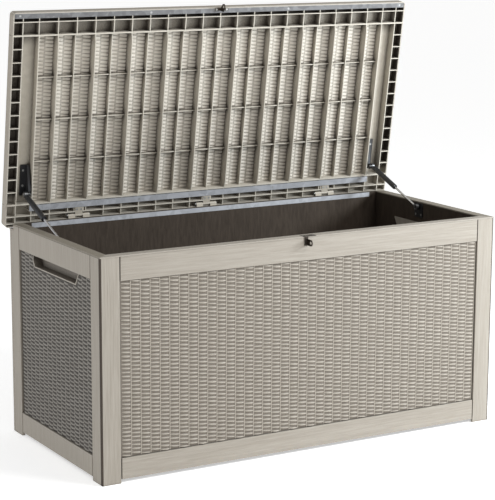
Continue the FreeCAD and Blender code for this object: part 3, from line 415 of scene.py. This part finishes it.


# Moulded resin board with grain along one axis. Rimmed darkens a band along the top as painted shade
# and paints a shadow line under it, woven paints shade on the feet of strands, calm weakens the painted
# recess shade low down, and crowned gives a lid its outer skin and paints shade on its woven field's
# floor.
def boardMaterial(name, colours, stretch, rimmed=False, woven=0.0, calm=None, crowned=False):
    material, shader = newMaterial(name, colours["roughness"])
    tree = material.node_tree
    shader.inputs["Specular IOR Level"].default_value = colours["sheen"]
    grain = placeGroup(tree, grainGroup, {"Stretch": stretch, "Density": boardFinish["density"]})
    pores = placeGroup(tree, poreGroup, {"Blotch Scale": boardFinish["blotchScale"],
                                         "Pore Scale": boardFinish["poreScale"]})
    wearAndHighlight = placeGroup(tree, wearAndHighlightGroup, {"Radius": boardFinish["wearAndHighlightRadius"],
                                        "Gain": boardFinish["wearAndHighlightGain"]})
    dust = placeGroup(tree, dustGroup, {"Amount": boardFinish["dustAmount"]})
    recess = placeGroup(tree, recessGroup, {"Distance": colours["reach"],
                                            "Threshold": colours["threshold"],
                                            "Full": colours["full"]})
    tone = mixColour(tree, grain["Tone"], colours["deep"], colours["pale"])
    if crowned:
        crown = placeGroup(tree, crownGroup, {})
        outer = mixColour(tree, grain["Tone"], boardColours["deep"], boardColours["pale"])
        tone = mixColour(tree, crown["Mask"], tone, outer)
        # painted shade on the floor of the lid's woven field
        tone = mixColour(tree, crown["Field"], tone, colours["fieldShade"])
    tone = mixColour(tree, multiply(tree, pores["Tone"], boardFinish["blotchShare"]), tone,
                     colours["blotch"])
    # painted highlight along the rounded edges of the boards
    tone = mixColour(tree, multiply(tree, wearAndHighlight["Mask"], boardFinish["wearAndHighlightShare"]), tone,
                     colours["edge"])
    tone = mixColour(tree, dust["Mask"], tone, colours["dust"])
    if rimmed:
        rim = placeGroup(tree, rimGroup, {})
        # painted shade on the band along the top of the boards, then a painted shadow line under it
        tone = mixColour(tree, multiply(tree, rim["Top Shade"], boardFinish["capShare"]), tone,
                         colours["cap"])
        tone = mixColour(tree, multiply(tree, rim["Line"], boardFinish["lineShare"]), tone,
                         colours["shade"])
    if woven:
        gap = placeGroup(tree, valleyGroup, {})
        # painted shade on the feet of strands, where they dip between crossings
        tone = mixColour(tree, multiply(tree, gap["Mask"], woven), tone, colours["gap"])
    depth = multiply(tree, recess["Mask"], colours["depth"])
    if calm:
        quiet = placeGroup(tree, heightGroup, calm)
        depth = multiply(tree, depth, quiet["Mask"])
    tone = mixColour(tree, depth, tone, colours["shade"])
    span = boardFinish["roughSpan"]
    rough = mathNode(tree, "MULTIPLY_ADD", grain["Height"], span, colours["roughness"] - span / 2)
    joinLinks(tree, (tone, shader.inputs["Base Color"]), (rough, shader.inputs["Roughness"]))
    height = mathNode(tree, "MULTIPLY_ADD", pores["Height"], boardFinish["poreRelief"],
                      grain["Height"])
    bumpFrom(tree, shader, height, colours["relief"])
    return material


# posts and rails
boardColours = {
    "deep": (0.262, 0.229, 0.186),
    "pale": (0.374, 0.337, 0.288),
    "blotch": (0.31, 0.28, 0.24),
    "edge": (0.56, 0.52, 0.46),
    "dust": (0.48, 0.46, 0.42),
    "cap": (0.205, 0.18, 0.14),
    "shade": (0.05, 0.038, 0.028),
    "gap": (0.085, 0.068, 0.050),
    "fieldShade": (0.15, 0.128, 0.10),
    "roughness": 0.56,
    "sheen": 0.35,
    "reach": 0.006,
    "threshold": 0.08,
    "full": 1.0,
    "depth": 0.9,
    "relief": 0.00025,
}
grainUp = (42.0, 42.0, 1.6)
grainAlongX = (1.6, 42.0, 42.0)
uprightBoard = boardMaterial("uprightBoard", boardColours, grainUp)
endBoard = boardMaterial("endBoard", boardColours, grainUp, rimmed=True)
levelBoard = boardMaterial("levelBoard", boardColours, grainAlongX)

# woven strands; the ends of the box get darker copies of them, as painted shade
strandColours = {
    **boardColours,
    "deep": (0.25, 0.215, 0.172),
    "pale": (0.46, 0.415, 0.355),
    "blotch": (0.33, 0.29, 0.24),
    "shade": (0.045, 0.034, 0.026),
    "threshold": 0.1,
    "depth": 1.0,
    "relief": 0.0003,
}
shadedEndColours = {
    **strandColours,
    "deep": (0.15, 0.136, 0.118),
    "pale": (0.32, 0.30, 0.272),
    "gap": (0.028, 0.024, 0.02),
    "reach": 0.009,
}
strandGrainX = (9.0, 130.0, 130.0)
strandGrainY = (130.0, 9.0, 130.0)
strandAlongX = boardMaterial("strandAlongX", strandColours, strandGrainX, woven=0.75)
strandAlongY = boardMaterial("strandAlongY", shadedEndColours, strandGrainY, woven=1.0)

# the panels under the strands, dark as painted shade between the strands
groundShadeColours = {
    **strandColours,
    "deep": (0.13, 0.108, 0.084),
    "pale": (0.23, 0.20, 0.165),
    "blotch": (0.17, 0.145, 0.118),
    "edge": (0.25, 0.22, 0.18),
    "roughness": 0.7,
    "relief": 0.0002,
}
# the end panels, darker still as painted shade
endGroundShadeColours = {
    **groundShadeColours,
    "deep": (0.045, 0.04, 0.034),
    "pale": (0.095, 0.085, 0.073),
    "blotch": (0.07, 0.06, 0.05),
}
groundGrain = (60.0, 60.0, 30.0)
weaveGroundShade = boardMaterial("weaveGroundShade", groundShadeColours, groundGrain)
endGroundShade = boardMaterial("endGroundShade", endGroundShadeColours, groundGrain)

# the finger pockets, with painted shade deepening toward their floor
pocketColours = {**boardColours, "reach": 0.05, "threshold": 0.22, "full": 0.8}
pocketBoard = boardMaterial("pocketBoard", pocketColours, grainUp)

# the lid: pale inside, where the recess shade is weaker near the hinge
lidColours = {
    **boardColours,
    "deep": (0.44, 0.40, 0.335),
    "pale": (0.56, 0.52, 0.445),
    "blotch": (0.48, 0.44, 0.375),
    "edge": (0.70, 0.66, 0.58),
    "dust": (0.5, 0.47, 0.42),
    "shade": (0.04, 0.03, 0.022),
    "roughness": 0.62,
    "sheen": 0.22,
    "reach": 0.034,
    "threshold": 0.37,
    "full": 0.56,
    "depth": 0.95,
    "relief": 0.00015,
}
lidCalm = {"Low": hingeZ + 0.055, "High": hingeZ + 0.07, "Floor": 0.3}
lidMould = boardMaterial("lidMould", lidColours, (8.0, 30.0, 8.0), calm=lidCalm, crowned=True)
# the lid's woven ceiling, paler than the lid moulding as painted light
litCeilingColours = {
    **lidColours,
    "deep": (0.54, 0.495, 0.43),
    "pale": (0.74, 0.69, 0.61),
    "gap": (0.05, 0.04, 0.03),
    "reach": 0.005,
    "threshold": 0.12,
    "full": 1.0,
    "relief": 0.0002,
}
litUnderStrand = boardMaterial("litUnderStrand", litCeilingColours, strandGrainX, woven=1.0)

# the dark-brown cores, their own colour where they show in gaps and corners; inside the box the same
# dark stands as painted shade on the inner walls and floor
darkCoreAndShadeColours = {
    **boardColours,
    "deep": (0.034, 0.025, 0.018),
    "pale": (0.068, 0.052, 0.039),
    "blotch": (0.050, 0.038, 0.030),
    "edge": (0.10, 0.085, 0.07),
    "dust": (0.16, 0.14, 0.12),
    "shade": (0.008, 0.006, 0.005),
    "roughness": 0.62,
    "sheen": 0.12,
    "reach": 0.03,
    "threshold": 0.1,
    "depth": 0.5,
    "relief": 0.0002,
}
darkCoreAndShade = boardMaterial("darkCoreAndShade", darkCoreAndShadeColours, (20.0, 20.0, 4.0))

zincFinish = {
    "density": 9.0,
    "wearAndHighlightRadius": 0.0008,
    "wearAndHighlightGain": 5.0,
    "streakShare": 0.35,
    "wearAndHighlightShare": 0.6,
    "roughSpan": 0.18,
    "roughDrop": 0.08,
    "relief": 0.00008,
}


# zinc-dipped steel: cold grey with crystal spangle and drawn lines
def galvanisedMaterial(name, look):
    material, shader = newMaterial(name, look["roughness"], look["metallic"])
    tree = material.node_tree
    grain = placeGroup(tree, grainGroup, {"Stretch": look["stretch"],
                                          "Density": zincFinish["density"]})
    wearAndHighlight = placeGroup(tree, wearAndHighlightGroup, {"Radius": zincFinish["wearAndHighlightRadius"],
                                        "Gain": zincFinish["wearAndHighlightGain"]})
    spangle = addNode(tree, "ShaderNodeTexVoronoi")
    spangle.inputs["Scale"].default_value = look["spangle"]
    sparkle = addNode(tree, "ShaderNodeSeparateColor")
    joinLinks(tree, (objectPoint(tree), spangle.inputs["Vector"]),
              (spangle.outputs["Color"], sparkle.inputs[0]))
    tone = mixColour(tree, sparkle.outputs[0], look["dark"], look["light"])
    tone = mixColour(tree, multiply(tree, grain["Tone"], zincFinish["streakShare"]), tone,
                     look["streak"])
    tone = mixColour(tree, multiply(tree, wearAndHighlight["Mask"], zincFinish["wearAndHighlightShare"]), tone,
                     look["light"])
    rough = mathNode(tree, "MULTIPLY_ADD", sparkle.outputs[1], zincFinish["roughSpan"],
                     look["roughness"] - zincFinish["roughDrop"])
    joinLinks(tree, (tone, shader.inputs["Base Color"]), (rough, shader.inputs["Roughness"]))
    bumpFrom(tree, shader, grain["Height"], zincFinish["relief"])
    return material


galvanisedBar = galvanisedMaterial("galvanisedBar", {
    "dark": (0.33, 0.335, 0.35), "light": (0.44, 0.445, 0.465), "streak": (0.37, 0.375, 0.39),
    "stretch": (2.0, 90.0, 90.0), "spangle": 70.0, "roughness": 0.55, "metallic": 0.3})
# the front bar: a darker copy of the galvanised bar, as painted shade
shadedBar = galvanisedMaterial("shadedBar", {
    "dark": (0.12, 0.118, 0.12), "light": (0.20, 0.198, 0.20), "streak": (0.15, 0.148, 0.15),
    "stretch": (2.0, 90.0, 90.0), "spangle": 70.0, "roughness": 0.6, "metallic": 0.3})
zincPlate = galvanisedMaterial("zincPlate", {
    "dark": (0.30, 0.30, 0.29), "light": (0.45, 0.45, 0.44), "streak": (0.34, 0.33, 0.31),
    "stretch": (50.0, 50.0, 50.0), "spangle": 260.0, "roughness": 0.48, "metallic": 0.8})

coatFinish = {
    "coatRoughness": 0.18,
    "blotchScale": 60.0,
    "poreScale": 1800.0,
    "wearAndHighlightRadius": 0.0006,
    "wearAndHighlightGain": 3.0,
    "roughSpan": 0.2,
    "relief": 0.00006,
}


# coated steel: a thin coat with orange peel, worn to metal at its edges
def coatedMaterial(name, look):
    material, shader = newMaterial(name, look["roughness"], look["metallic"])
    tree = material.node_tree
    shader.inputs["Coat Weight"].default_value = look["coat"]
    shader.inputs["Coat Roughness"].default_value = coatFinish["coatRoughness"]
    pores = placeGroup(tree, poreGroup, {"Blotch Scale": coatFinish["blotchScale"],
                                         "Pore Scale": coatFinish["poreScale"]})
    wearAndHighlight = placeGroup(tree, wearAndHighlightGroup, {"Radius": coatFinish["wearAndHighlightRadius"],
                                        "Gain": coatFinish["wearAndHighlightGain"]})
    tone = mixColour(tree, pores["Tone"], look["dark"], look["light"])
    tone = mixColour(tree, multiply(tree, wearAndHighlight["Mask"], look["wearAndHighlight"]), tone, look["bare"])
    span = coatFinish["roughSpan"]
    rough = mathNode(tree, "MULTIPLY_ADD", pores["Tone"], span, look["roughness"] - span / 2)
    joinLinks(tree, (tone, shader.inputs["Base Color"]), (rough, shader.inputs["Roughness"]))
    bumpFrom(tree, shader, pores["Height"], coatFinish["relief"])
    return material


strutPaint = coatedMaterial("strutPaint", {
    "dark": (0.008, 0.008, 0.009), "light": (0.022, 0.022, 0.024), "bare": (0.12, 0.12, 0.12),
    "wearAndHighlight": 0.3, "roughness": 0.38, "metallic": 0.0, "coat": 0.15})
latchBronze = coatedMaterial("latchBronze", {
    "dark": (0.025, 0.019, 0.014), "light": (0.06, 0.046, 0.034), "bare": (0.32, 0.27, 0.22),
    "wearAndHighlight": 0.55, "roughness": 0.4, "metallic": 0.7, "coat": 0.25})
paintedHinge = coatedMaterial("paintedHinge", {
    "dark": (0.36, 0.32, 0.26), "light": (0.44, 0.40, 0.33), "bare": (0.60, 0.59, 0.57),
    "wearAndHighlight": 0.5, "roughness": 0.5, "metallic": 0.0, "coat": 0.1})
darkFitting = coatedMaterial("darkFitting", {
    "dark": (0.10, 0.10, 0.10), "light": (0.19, 0.19, 0.19), "bare": (0.5, 0.5, 0.5),
    "wearAndHighlight": 0.5, "roughness": 0.38, "metallic": 0.8, "coat": 0.0})
polishedRod = coatedMaterial("polishedRod", {
    "dark": (0.66, 0.66, 0.68), "light": (0.78, 0.78, 0.80), "bare": (0.85, 0.85, 0.86),
    "wearAndHighlight": 0.2, "roughness": 0.16, "metallic": 1.0, "coat": 0.0})
print("materials built")


def dress(material, names):
    for name in names:
        mesh = nodes[name].data
        mesh.materials.clear()
        mesh.materials.append(material)


def namesWith(*endings):
    return [name for name in nodes if name.endswith(endings)]


dress(uprightBoard, ["front_left_post", "front_right_post", "back_left_post", "back_right_post",
                     "back_left_corner_angle", "back_right_corner_angle"])
dress(endBoard, [side + part for side in ("left_", "right_")
                 for part in ("front_post", "back_post", "top_rail", "bottom_rail")])
dress(pocketBoard, namesWith("_handle_pocket"))
dress(levelBoard, ["front_top_rail", "back_top_rail", "front_bottom_rail", "back_bottom_rail"])
dress(weaveGroundShade, ["front_wicker_panel", "back_wicker_panel"])
dress(endGroundShade, ["left_wicker_panel", "right_wicker_panel"])
dress(darkCoreAndShade, namesWith("_core") + ["floor_panel", "front_left_corner_angle",
                                       "front_right_corner_angle"])
dress(lidMould, ["lid_shell"])
dress(galvanisedBar, ["rear_bar", "back_rim_bar"])
dress(shadedBar, ["front_bar"])
dress(zincPlate, namesWith("_screws") + ["strut_lid_pins", "hinge_pins"])
dress(paintedHinge, namesWith("_leaf"))
dress(latchBronze, ["latch_keeper", "latch_eye"])
dress(strutPaint, namesWith("_bracket", "_strut_tube"))
dress(darkFitting, namesWith("_tube_eye", "_rod_eye"))
dress(polishedRod, namesWith("_strut_rod"))
print("frame dressed")

# the parts of one crossing: vertex counts, how deep a strand's edges sink, how soon its crown
# counts as level for the shading, and how unevenly strands grow
crossingPlan = {
    "strandVertices": (9, 5),
    "stakeVertices": (5, 2),
    "sink": 0.0003,
    "levelling": 2.6,
    "stakeOverlap": 1.01,
    "stagger": 0.5,
    "leastNotch": 0.0001,
    "growth": (0.86, 1.12),
    "growthSeed": 7,
}


# The tree lays one bulging strand over each crossing, in columns whose rows are staggered.
# It works flat, facing +Z, and turns the field into place at the end.
def buildWeaveTree():
    tree = bpy.data.node_groups.new("weaveField", "GeometryNodeTree")
    kinds = {
        "Float": ["Length", "Height", "Rise", "Fill", "Reach", "Taper", "Profile", "Stake",
                  "Stake Rise", "Tilt", "Unevenness", "Notch Half Top", "Notch Half Bottom",
                  "Notch Depth"],
        "Int": ["Columns", "Rows", "Seed"],
        "Vector": ["Place", "Turn"],
        "Material": ["Material"],
    }
    for kind, labels in kinds.items():
        for label in labels:
            tree.interface.new_socket(name=label, in_out="INPUT", socket_type="NodeSocket" + kind)
    tree.interface.new_socket(name="Geometry", in_out="OUTPUT", socket_type="NodeSocketGeometry")
    entry = addNode(tree, "NodeGroupInput")
    leave = addNode(tree, "NodeGroupOutput")
    given = entry.outputs
    columnPitch = mathNode(tree, "DIVIDE", given["Length"], given["Columns"])
    rowPitch = mathNode(tree, "DIVIDE", given["Height"], given["Rows"])

    def gridMesh(verticesX, verticesY, sizeX, sizeY):
        grid = addNode(tree, "GeometryNodeMeshGrid")
        joinLinks(tree, (sizeX, grid.inputs["Size X"]), (sizeY, grid.inputs["Size Y"]))
        for label, count in (("Vertices X", verticesX), ("Vertices Y", verticesY)):
            if isinstance(count, int):
                grid.inputs[label].default_value = count
            else:
                tree.links.new(count, grid.inputs[label])
        return grid.outputs["Mesh"]

    def pointParts():
        return splitVector(tree, addNode(tree, "GeometryNodeInputPosition").outputs[0])

    # a round section: 1 in the middle of the width, 0 at its edges
    def roundSection(distance, width):
        offset = mathNode(tree, "DIVIDE", distance, multiply(tree, width, 0.5))
        left = mathNode(tree, "SUBTRACT", 1.0, multiply(tree, offset, offset))
        return mathNode(tree, "SQRT", mathNode(tree, "MAXIMUM", left, 0.0))

    # move the points, and keep how deep each one lies for the painted shade of the gaps
    def bendMesh(mesh, lift, position):
        mark = addNode(tree, "GeometryNodeStoreNamedAttribute", data_type="FLOAT", domain="POINT")
        mark.inputs["Name"].default_value = "valley"
        bend = addNode(tree, "GeometryNodeSetPosition")
        smooth = addNode(tree, "GeometryNodeSetShadeSmooth")
        joinLinks(tree, (mesh, mark.inputs["Geometry"]),
                  (mathNode(tree, "SUBTRACT", 1.0, lift), mark.inputs["Value"]),
                  (mark.outputs[0], bend.inputs["Geometry"]), (position, bend.inputs["Position"]),
                  (bend.outputs[0], smooth.inputs["Geometry"]))
        return smooth.outputs[0]

    def strand():
        length = multiply(tree, columnPitch, given["Reach"])
        width = multiply(tree, rowPitch, given["Fill"])
        mesh = gridMesh(*crossingPlan["strandVertices"], length, width)
        point = pointParts()
        phase = mathNode(tree, "DIVIDE", multiply(tree, point["X"], math.pi), length)
        swell = mathNode(tree, "MAXIMUM", mathNode(tree, "COSINE", phase), 0.0)
        crown = roundSection(point["Y"], width)
        lift = multiply(tree, mathNode(tree, "POWER", swell, given["Profile"]), crown)
        z = mathNode(tree, "SUBTRACT", multiply(tree, lift, given["Rise"]), crossingPlan["sink"])
        narrowing = multiply(tree, mathNode(tree, "SUBTRACT", 1.0, swell), given["Taper"])
        y = multiply(tree, point["Y"], mathNode(tree, "SUBTRACT", 1.0, narrowing))
        steep = multiply(tree, swell, crossingPlan["levelling"])
        level = mathNode(tree, "MINIMUM", steep, 1.0)
        return bendMesh(mesh, multiply(tree, level, crown), joinVector(tree, X=point["X"], Y=y, Z=z))

    # a short length of the upright stake that stands between two columns
    def stake():
        width = multiply(tree, columnPitch, given["Stake"])
        length = multiply(tree, rowPitch, crossingPlan["stakeOverlap"])
        mesh = gridMesh(*crossingPlan["stakeVertices"], width, length)
        point = pointParts()
        crown = roundSection(point["X"], width)
        x = mathNode(tree, "MULTIPLY_ADD", columnPitch, 0.5, point["X"])
        z = multiply(tree, crown, given["Stake Rise"])
        return bendMesh(mesh, crown, joinVector(tree, X=x, Y=point["Y"], Z=z))

    # 1 for a crossing that falls in the notch at the field's top edge
    def inNotch():
        point = pointParts()
        below = mathNode(tree, "SUBTRACT", multiply(tree, given["Height"], 0.5), point["Y"])
        narrowing = mathNode(tree, "SUBTRACT", given["Notch Half Top"], given["Notch Half Bottom"])
        slope = mathNode(tree, "DIVIDE", narrowing,
                         mathNode(tree, "MAXIMUM", given["Notch Depth"], crossingPlan["leastNotch"]))
        half = mathNode(tree, "SUBTRACT", given["Notch Half Top"], multiply(tree, below, slope))
        deep = mathNode(tree, "LESS_THAN", below, given["Notch Depth"])
        wide = mathNode(tree, "LESS_THAN", mathNode(tree, "ABSOLUTE", point["X"]), half)
        return multiply(tree, deep, wide)

    # one shape at each crossing; leaning ones also turn and grow a little, each its own way
    def crossings(shape, stagger, leaning):
        mesh = gridMesh(given["Columns"], given["Rows"],
                        mathNode(tree, "SUBTRACT", given["Length"], columnPitch),
                        mathNode(tree, "SUBTRACT", given["Height"], rowPitch))
        fromLeft = mathNode(tree, "MULTIPLY_ADD", given["Length"], 0.5, pointParts()["X"])
        column = mathNode(tree, "FLOOR", mathNode(tree, "DIVIDE", fromLeft, columnPitch))
        parity = mathNode(tree, "MODULO", column, 2.0)
        shift = multiply(tree, mathNode(tree, "SUBTRACT", parity, 0.5),
                         multiply(tree, rowPitch, stagger))
        move = addNode(tree, "GeometryNodeSetPosition")
        drop = addNode(tree, "GeometryNodeDeleteGeometry", domain="POINT")
        place = addNode(tree, "GeometryNodeInstanceOnPoints")
        joinLinks(tree, (mesh, move.inputs["Geometry"]),
                  (joinVector(tree, Y=shift), move.inputs["Offset"]),
                  (move.outputs[0], drop.inputs["Geometry"]), (inNotch(), drop.inputs["Selection"]),
                  (drop.outputs[0], place.inputs["Points"]), (shape, place.inputs["Instance"]))
        if leaning:
            # inputs 2 and 3 of a random value are its float ends, and output 1 is its float
            lean = addNode(tree, "FunctionNodeRandomValue", data_type="FLOAT")
            grow = addNode(tree, "FunctionNodeRandomValue", data_type="FLOAT")
            grow.inputs[2].default_value, grow.inputs[3].default_value = crossingPlan["growth"]
            growSeed = mathNode(tree, "ADD", given["Seed"], crossingPlan["growthSeed"])
            low = mathNode(tree, "SUBTRACT", given["Tilt"], given["Unevenness"])
            high = mathNode(tree, "ADD", given["Tilt"], given["Unevenness"])
            turn = joinVector(tree, Z=lean.outputs[1])
            size = joinVector(tree, X=1.0, Y=grow.outputs[1], Z=grow.outputs[1])
            joinLinks(tree, (given["Seed"], lean.inputs["Seed"]), (growSeed, grow.inputs["Seed"]),
                      (low, lean.inputs[2]), (high, lean.inputs[3]),
                      (turn, place.inputs["Rotation"]), (size, place.inputs["Scale"]))
        return place.outputs[0]

    over = addNode(tree, "GeometryNodeJoinGeometry")
    joinLinks(tree, (crossings(strand(), crossingPlan["stagger"], True), over.inputs[0]),
              (crossings(stake(), 0.0, False), over.inputs[0]))
    place = addNode(tree, "GeometryNodeTransform")
    real = addNode(tree, "GeometryNodeRealizeInstances")
    finish = addNode(tree, "GeometryNodeSetMaterial")
    joinLinks(tree, (over.outputs[0], place.inputs["Geometry"]),
              (given["Place"], place.inputs["Translation"]), (given["Turn"], place.inputs["Rotation"]),
              (place.outputs[0], real.inputs["Geometry"]), (real.outputs[0], finish.inputs["Geometry"]),
              (given["Material"], finish.inputs["Material"]), (finish.outputs[0], leave.inputs[0]))
    return tree


# run a tree with the given inputs and keep the result as a plain mesh
def runTree(name, tree, values):
    holder = addObject(name + "Holder", bpy.data.meshes.new(name + "Holder"))
    modifier = holder.modifiers.new("grow", "NODES")
    modifier.node_group = tree
    for item in tree.interface.items_tree:
        if item.item_type == "SOCKET" and item.in_out == "INPUT" and item.name in values:
            modifier[item.identifier] = values[item.name]
    evaluated = holder.evaluated_get(bpy.context.evaluated_depsgraph_get())
    mesh = bpy.data.meshes.new_from_object(evaluated)
    mesh.name = name
    bpy.data.objects.remove(holder)
    return addObject(name, mesh)


weaveTree = buildWeaveTree()
wallStrand = {"Rise": 0.0034, "Fill": 0.66, "Reach": 1.0, "Taper": 0.45, "Profile": 0.75,
              "Stake": 0.13, "Stake Rise": 0.0012}
weave = {
    "columnPitch": 0.0271,
    "rowPitch": 0.01035,
    "tilt": -0.08,
    "unevenness": 0.035,
    "wall": wallStrand,
    "lidTop": {**wallStrand, "Rise": 0.0031},
    "ceiling": {"Rise": 0.0018, "Fill": 0.93, "Reach": 1.0, "Taper": 0.08, "Profile": 0.3,
                "Stake": 0.03, "Stake Rise": 0.0004},
}


def weaveField(name, body, size, place, turn, material, strand, seed, notch=(0.0, 0.0, 0.0)):
    length, height = size
    piece = runTree(name, weaveTree, {
        "Length": length,
        "Height": height,
        "Columns": max(2, round(length / weave["columnPitch"])),
        "Rows": max(2, round(height / weave["rowPitch"])),
        **weave[strand],
        "Tilt": weave["tilt"],
        "Unevenness": weave["unevenness"],
        "Seed": seed,
        "Notch Half Top": notch[0],
        "Notch Half Bottom": notch[1],
        "Notch Depth": notch[2],
        "Place": tuple(place),
        "Turn": tuple(turn),
        "Material": material,
    })
    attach(piece, body)
    return piece


quarter = math.pi / 2
wallPlan = {
    "sideGap": 0.002,
    "pocketMargin": 0.004,
    "pocketNarrowing": 0.018,
    "turnAndSeed": {"front": (0.0, 1), "back": (2 * quarter, 2), "left": (-quarter, 3),
                    "right": (quarter, 4)},
}
for side, (angle, seed) in wallPlan["turnAndSeed"].items():
    low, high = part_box(side + "_wicker_panel")
    middle = (low + high) / 2
    isEnd = side in ("left", "right")
    outward = Vector((math.sin(angle), -math.cos(angle), 0))
    thickness, span = high.y - low.y, high.x - low.x
    notch = (0.0, 0.0, 0.0)
    if isEnd:
        thickness, span = span, thickness
        margin = wallPlan["pocketMargin"]
        pocketLow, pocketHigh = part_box(side + "_handle_pocket")
        notch = (pocketHigh.y + margin, pocketHigh.y - wallPlan["pocketNarrowing"],
                 high.z - pocketLow.z + margin)
    piece = weaveField(side + "Weave", "box", (span - wallPlan["sideGap"], high.z - low.z),
                       middle + outward * thickness / 2, (quarter, 0.0, angle),
                       strandAlongY if isEnd else strandAlongX, "wall", seed, notch)
print("walls woven")

lidSeeds = {"top": 5, "under": 6}
fieldDepth = lidDepth - 2 * lidPlan["border"]
topWeave = weaveField("lidTopWeave", "lid", (2 * (lidHalfLength - lidPlan["border"]), fieldDepth),
                      lidPlace(0, lidDepth / 2, lidPlan["height"] - lidPlan["recess"]),
                      (-openAngle, 0.0, 0.0), strandAlongX, "lidTop", lidSeeds["top"])
underWeave = weaveField("lidUnderWeave", "lid", (2 * lidPlan["fieldHalf"], fieldDepth),
                        lidPlace(0, lidDepth / 2, lidPlan["ceiling"]),
                        (2 * quarter - openAngle, 0.0, 0.0), litUnderStrand, "ceiling", lidSeeds["under"])
print("lid woven")


stagePlan = {
    "reach": 60.0,
    "colour": (0.93, 0.93, 0.925, 1.0),
    "roughness": 0.9,
    "glow": 0.5,
    "worldStrength": 0.5,
}
white = (1.0, 1.0, 1.0, 1.0)
reach = stagePlan["reach"]
corners = [(-reach, -reach, 0), (reach, -reach, 0), (reach, reach, 0), (-reach, reach, 0)]
floorMesh = bpy.data.meshes.new("studioFloor")
floorMesh.from_pydata(corners, [], [(0, 1, 2, 3)])
floor = addObject("studioFloor", floorMesh)
floorMaterial, floorShader = newMaterial("studioFloor", stagePlan["roughness"])
floorShader.inputs["Base Color"].default_value = stagePlan["colour"]
floorShader.inputs["Emission Color"].default_value = white
floorShader.inputs["Emission Strength"].default_value = stagePlan["glow"]
floorMesh.materials.append(floorMaterial)

cameraPlan = {
    "place": (-2.436, -4.123, 1.422),
    "yaw": -30.35,
    "pitch": 79.06,
    "roll": 0.25,
    "lens": 128.4,
    "sensor": 36.0,
}
camera = addObject("viewer", bpy.data.cameras.new("viewer"))
camera.data.lens = cameraPlan["lens"]
camera.data.sensor_width = cameraPlan["sensor"]
camera.matrix_world = (Matrix.Translation(cameraPlan["place"])
                       @ Matrix.Rotation(math.radians(cameraPlan["yaw"]), 4, "Z")
                       @ Matrix.Rotation(math.radians(cameraPlan["pitch"]), 4, "X")
                       @ Matrix.Rotation(math.radians(cameraPlan["roll"]), 4, "Z"))
bpy.context.scene.camera = camera

lightAim = Vector((0.0, 0.0, 0.4))
lights = {
    "key": {"place": (2.1, -1.5, 1.35), "size": 0.6, "power": 76.0, "colour": (0.87, 0.94, 1.0)},
    "fill": {"place": (-3.2, 0.8, 1.0), "size": 1.6, "power": 14.0, "colour": (0.86, 0.93, 1.0)},
    "top": {"place": (1.2, -2.3, 3.0), "size": 1.0, "power": 42.0, "colour": (1.0, 1.0, 1.0)},
}
for name, look in lights.items():
    lamp = bpy.data.lights.new(name + "Light", "AREA")
    lamp.energy = look["power"]
    lamp.size = look["size"]
    lamp.color = look["colour"]
    turned = (lightAim - Vector(look["place"])).to_track_quat("-Z", "Y").to_matrix().to_4x4()
    addObject(name + "Light", lamp).matrix_world = Matrix.Translation(look["place"]) @ turned

world = bpy.data.worlds.new("studioWorld")
bpy.context.scene.world = world
world.use_nodes = True
background = world.node_tree.nodes["Background"]
background.inputs["Color"].default_value = white
background.inputs["Strength"].default_value = stagePlan["worldStrength"]
bpy.context.scene.view_settings.view_transform = "Standard"
print("stage set")
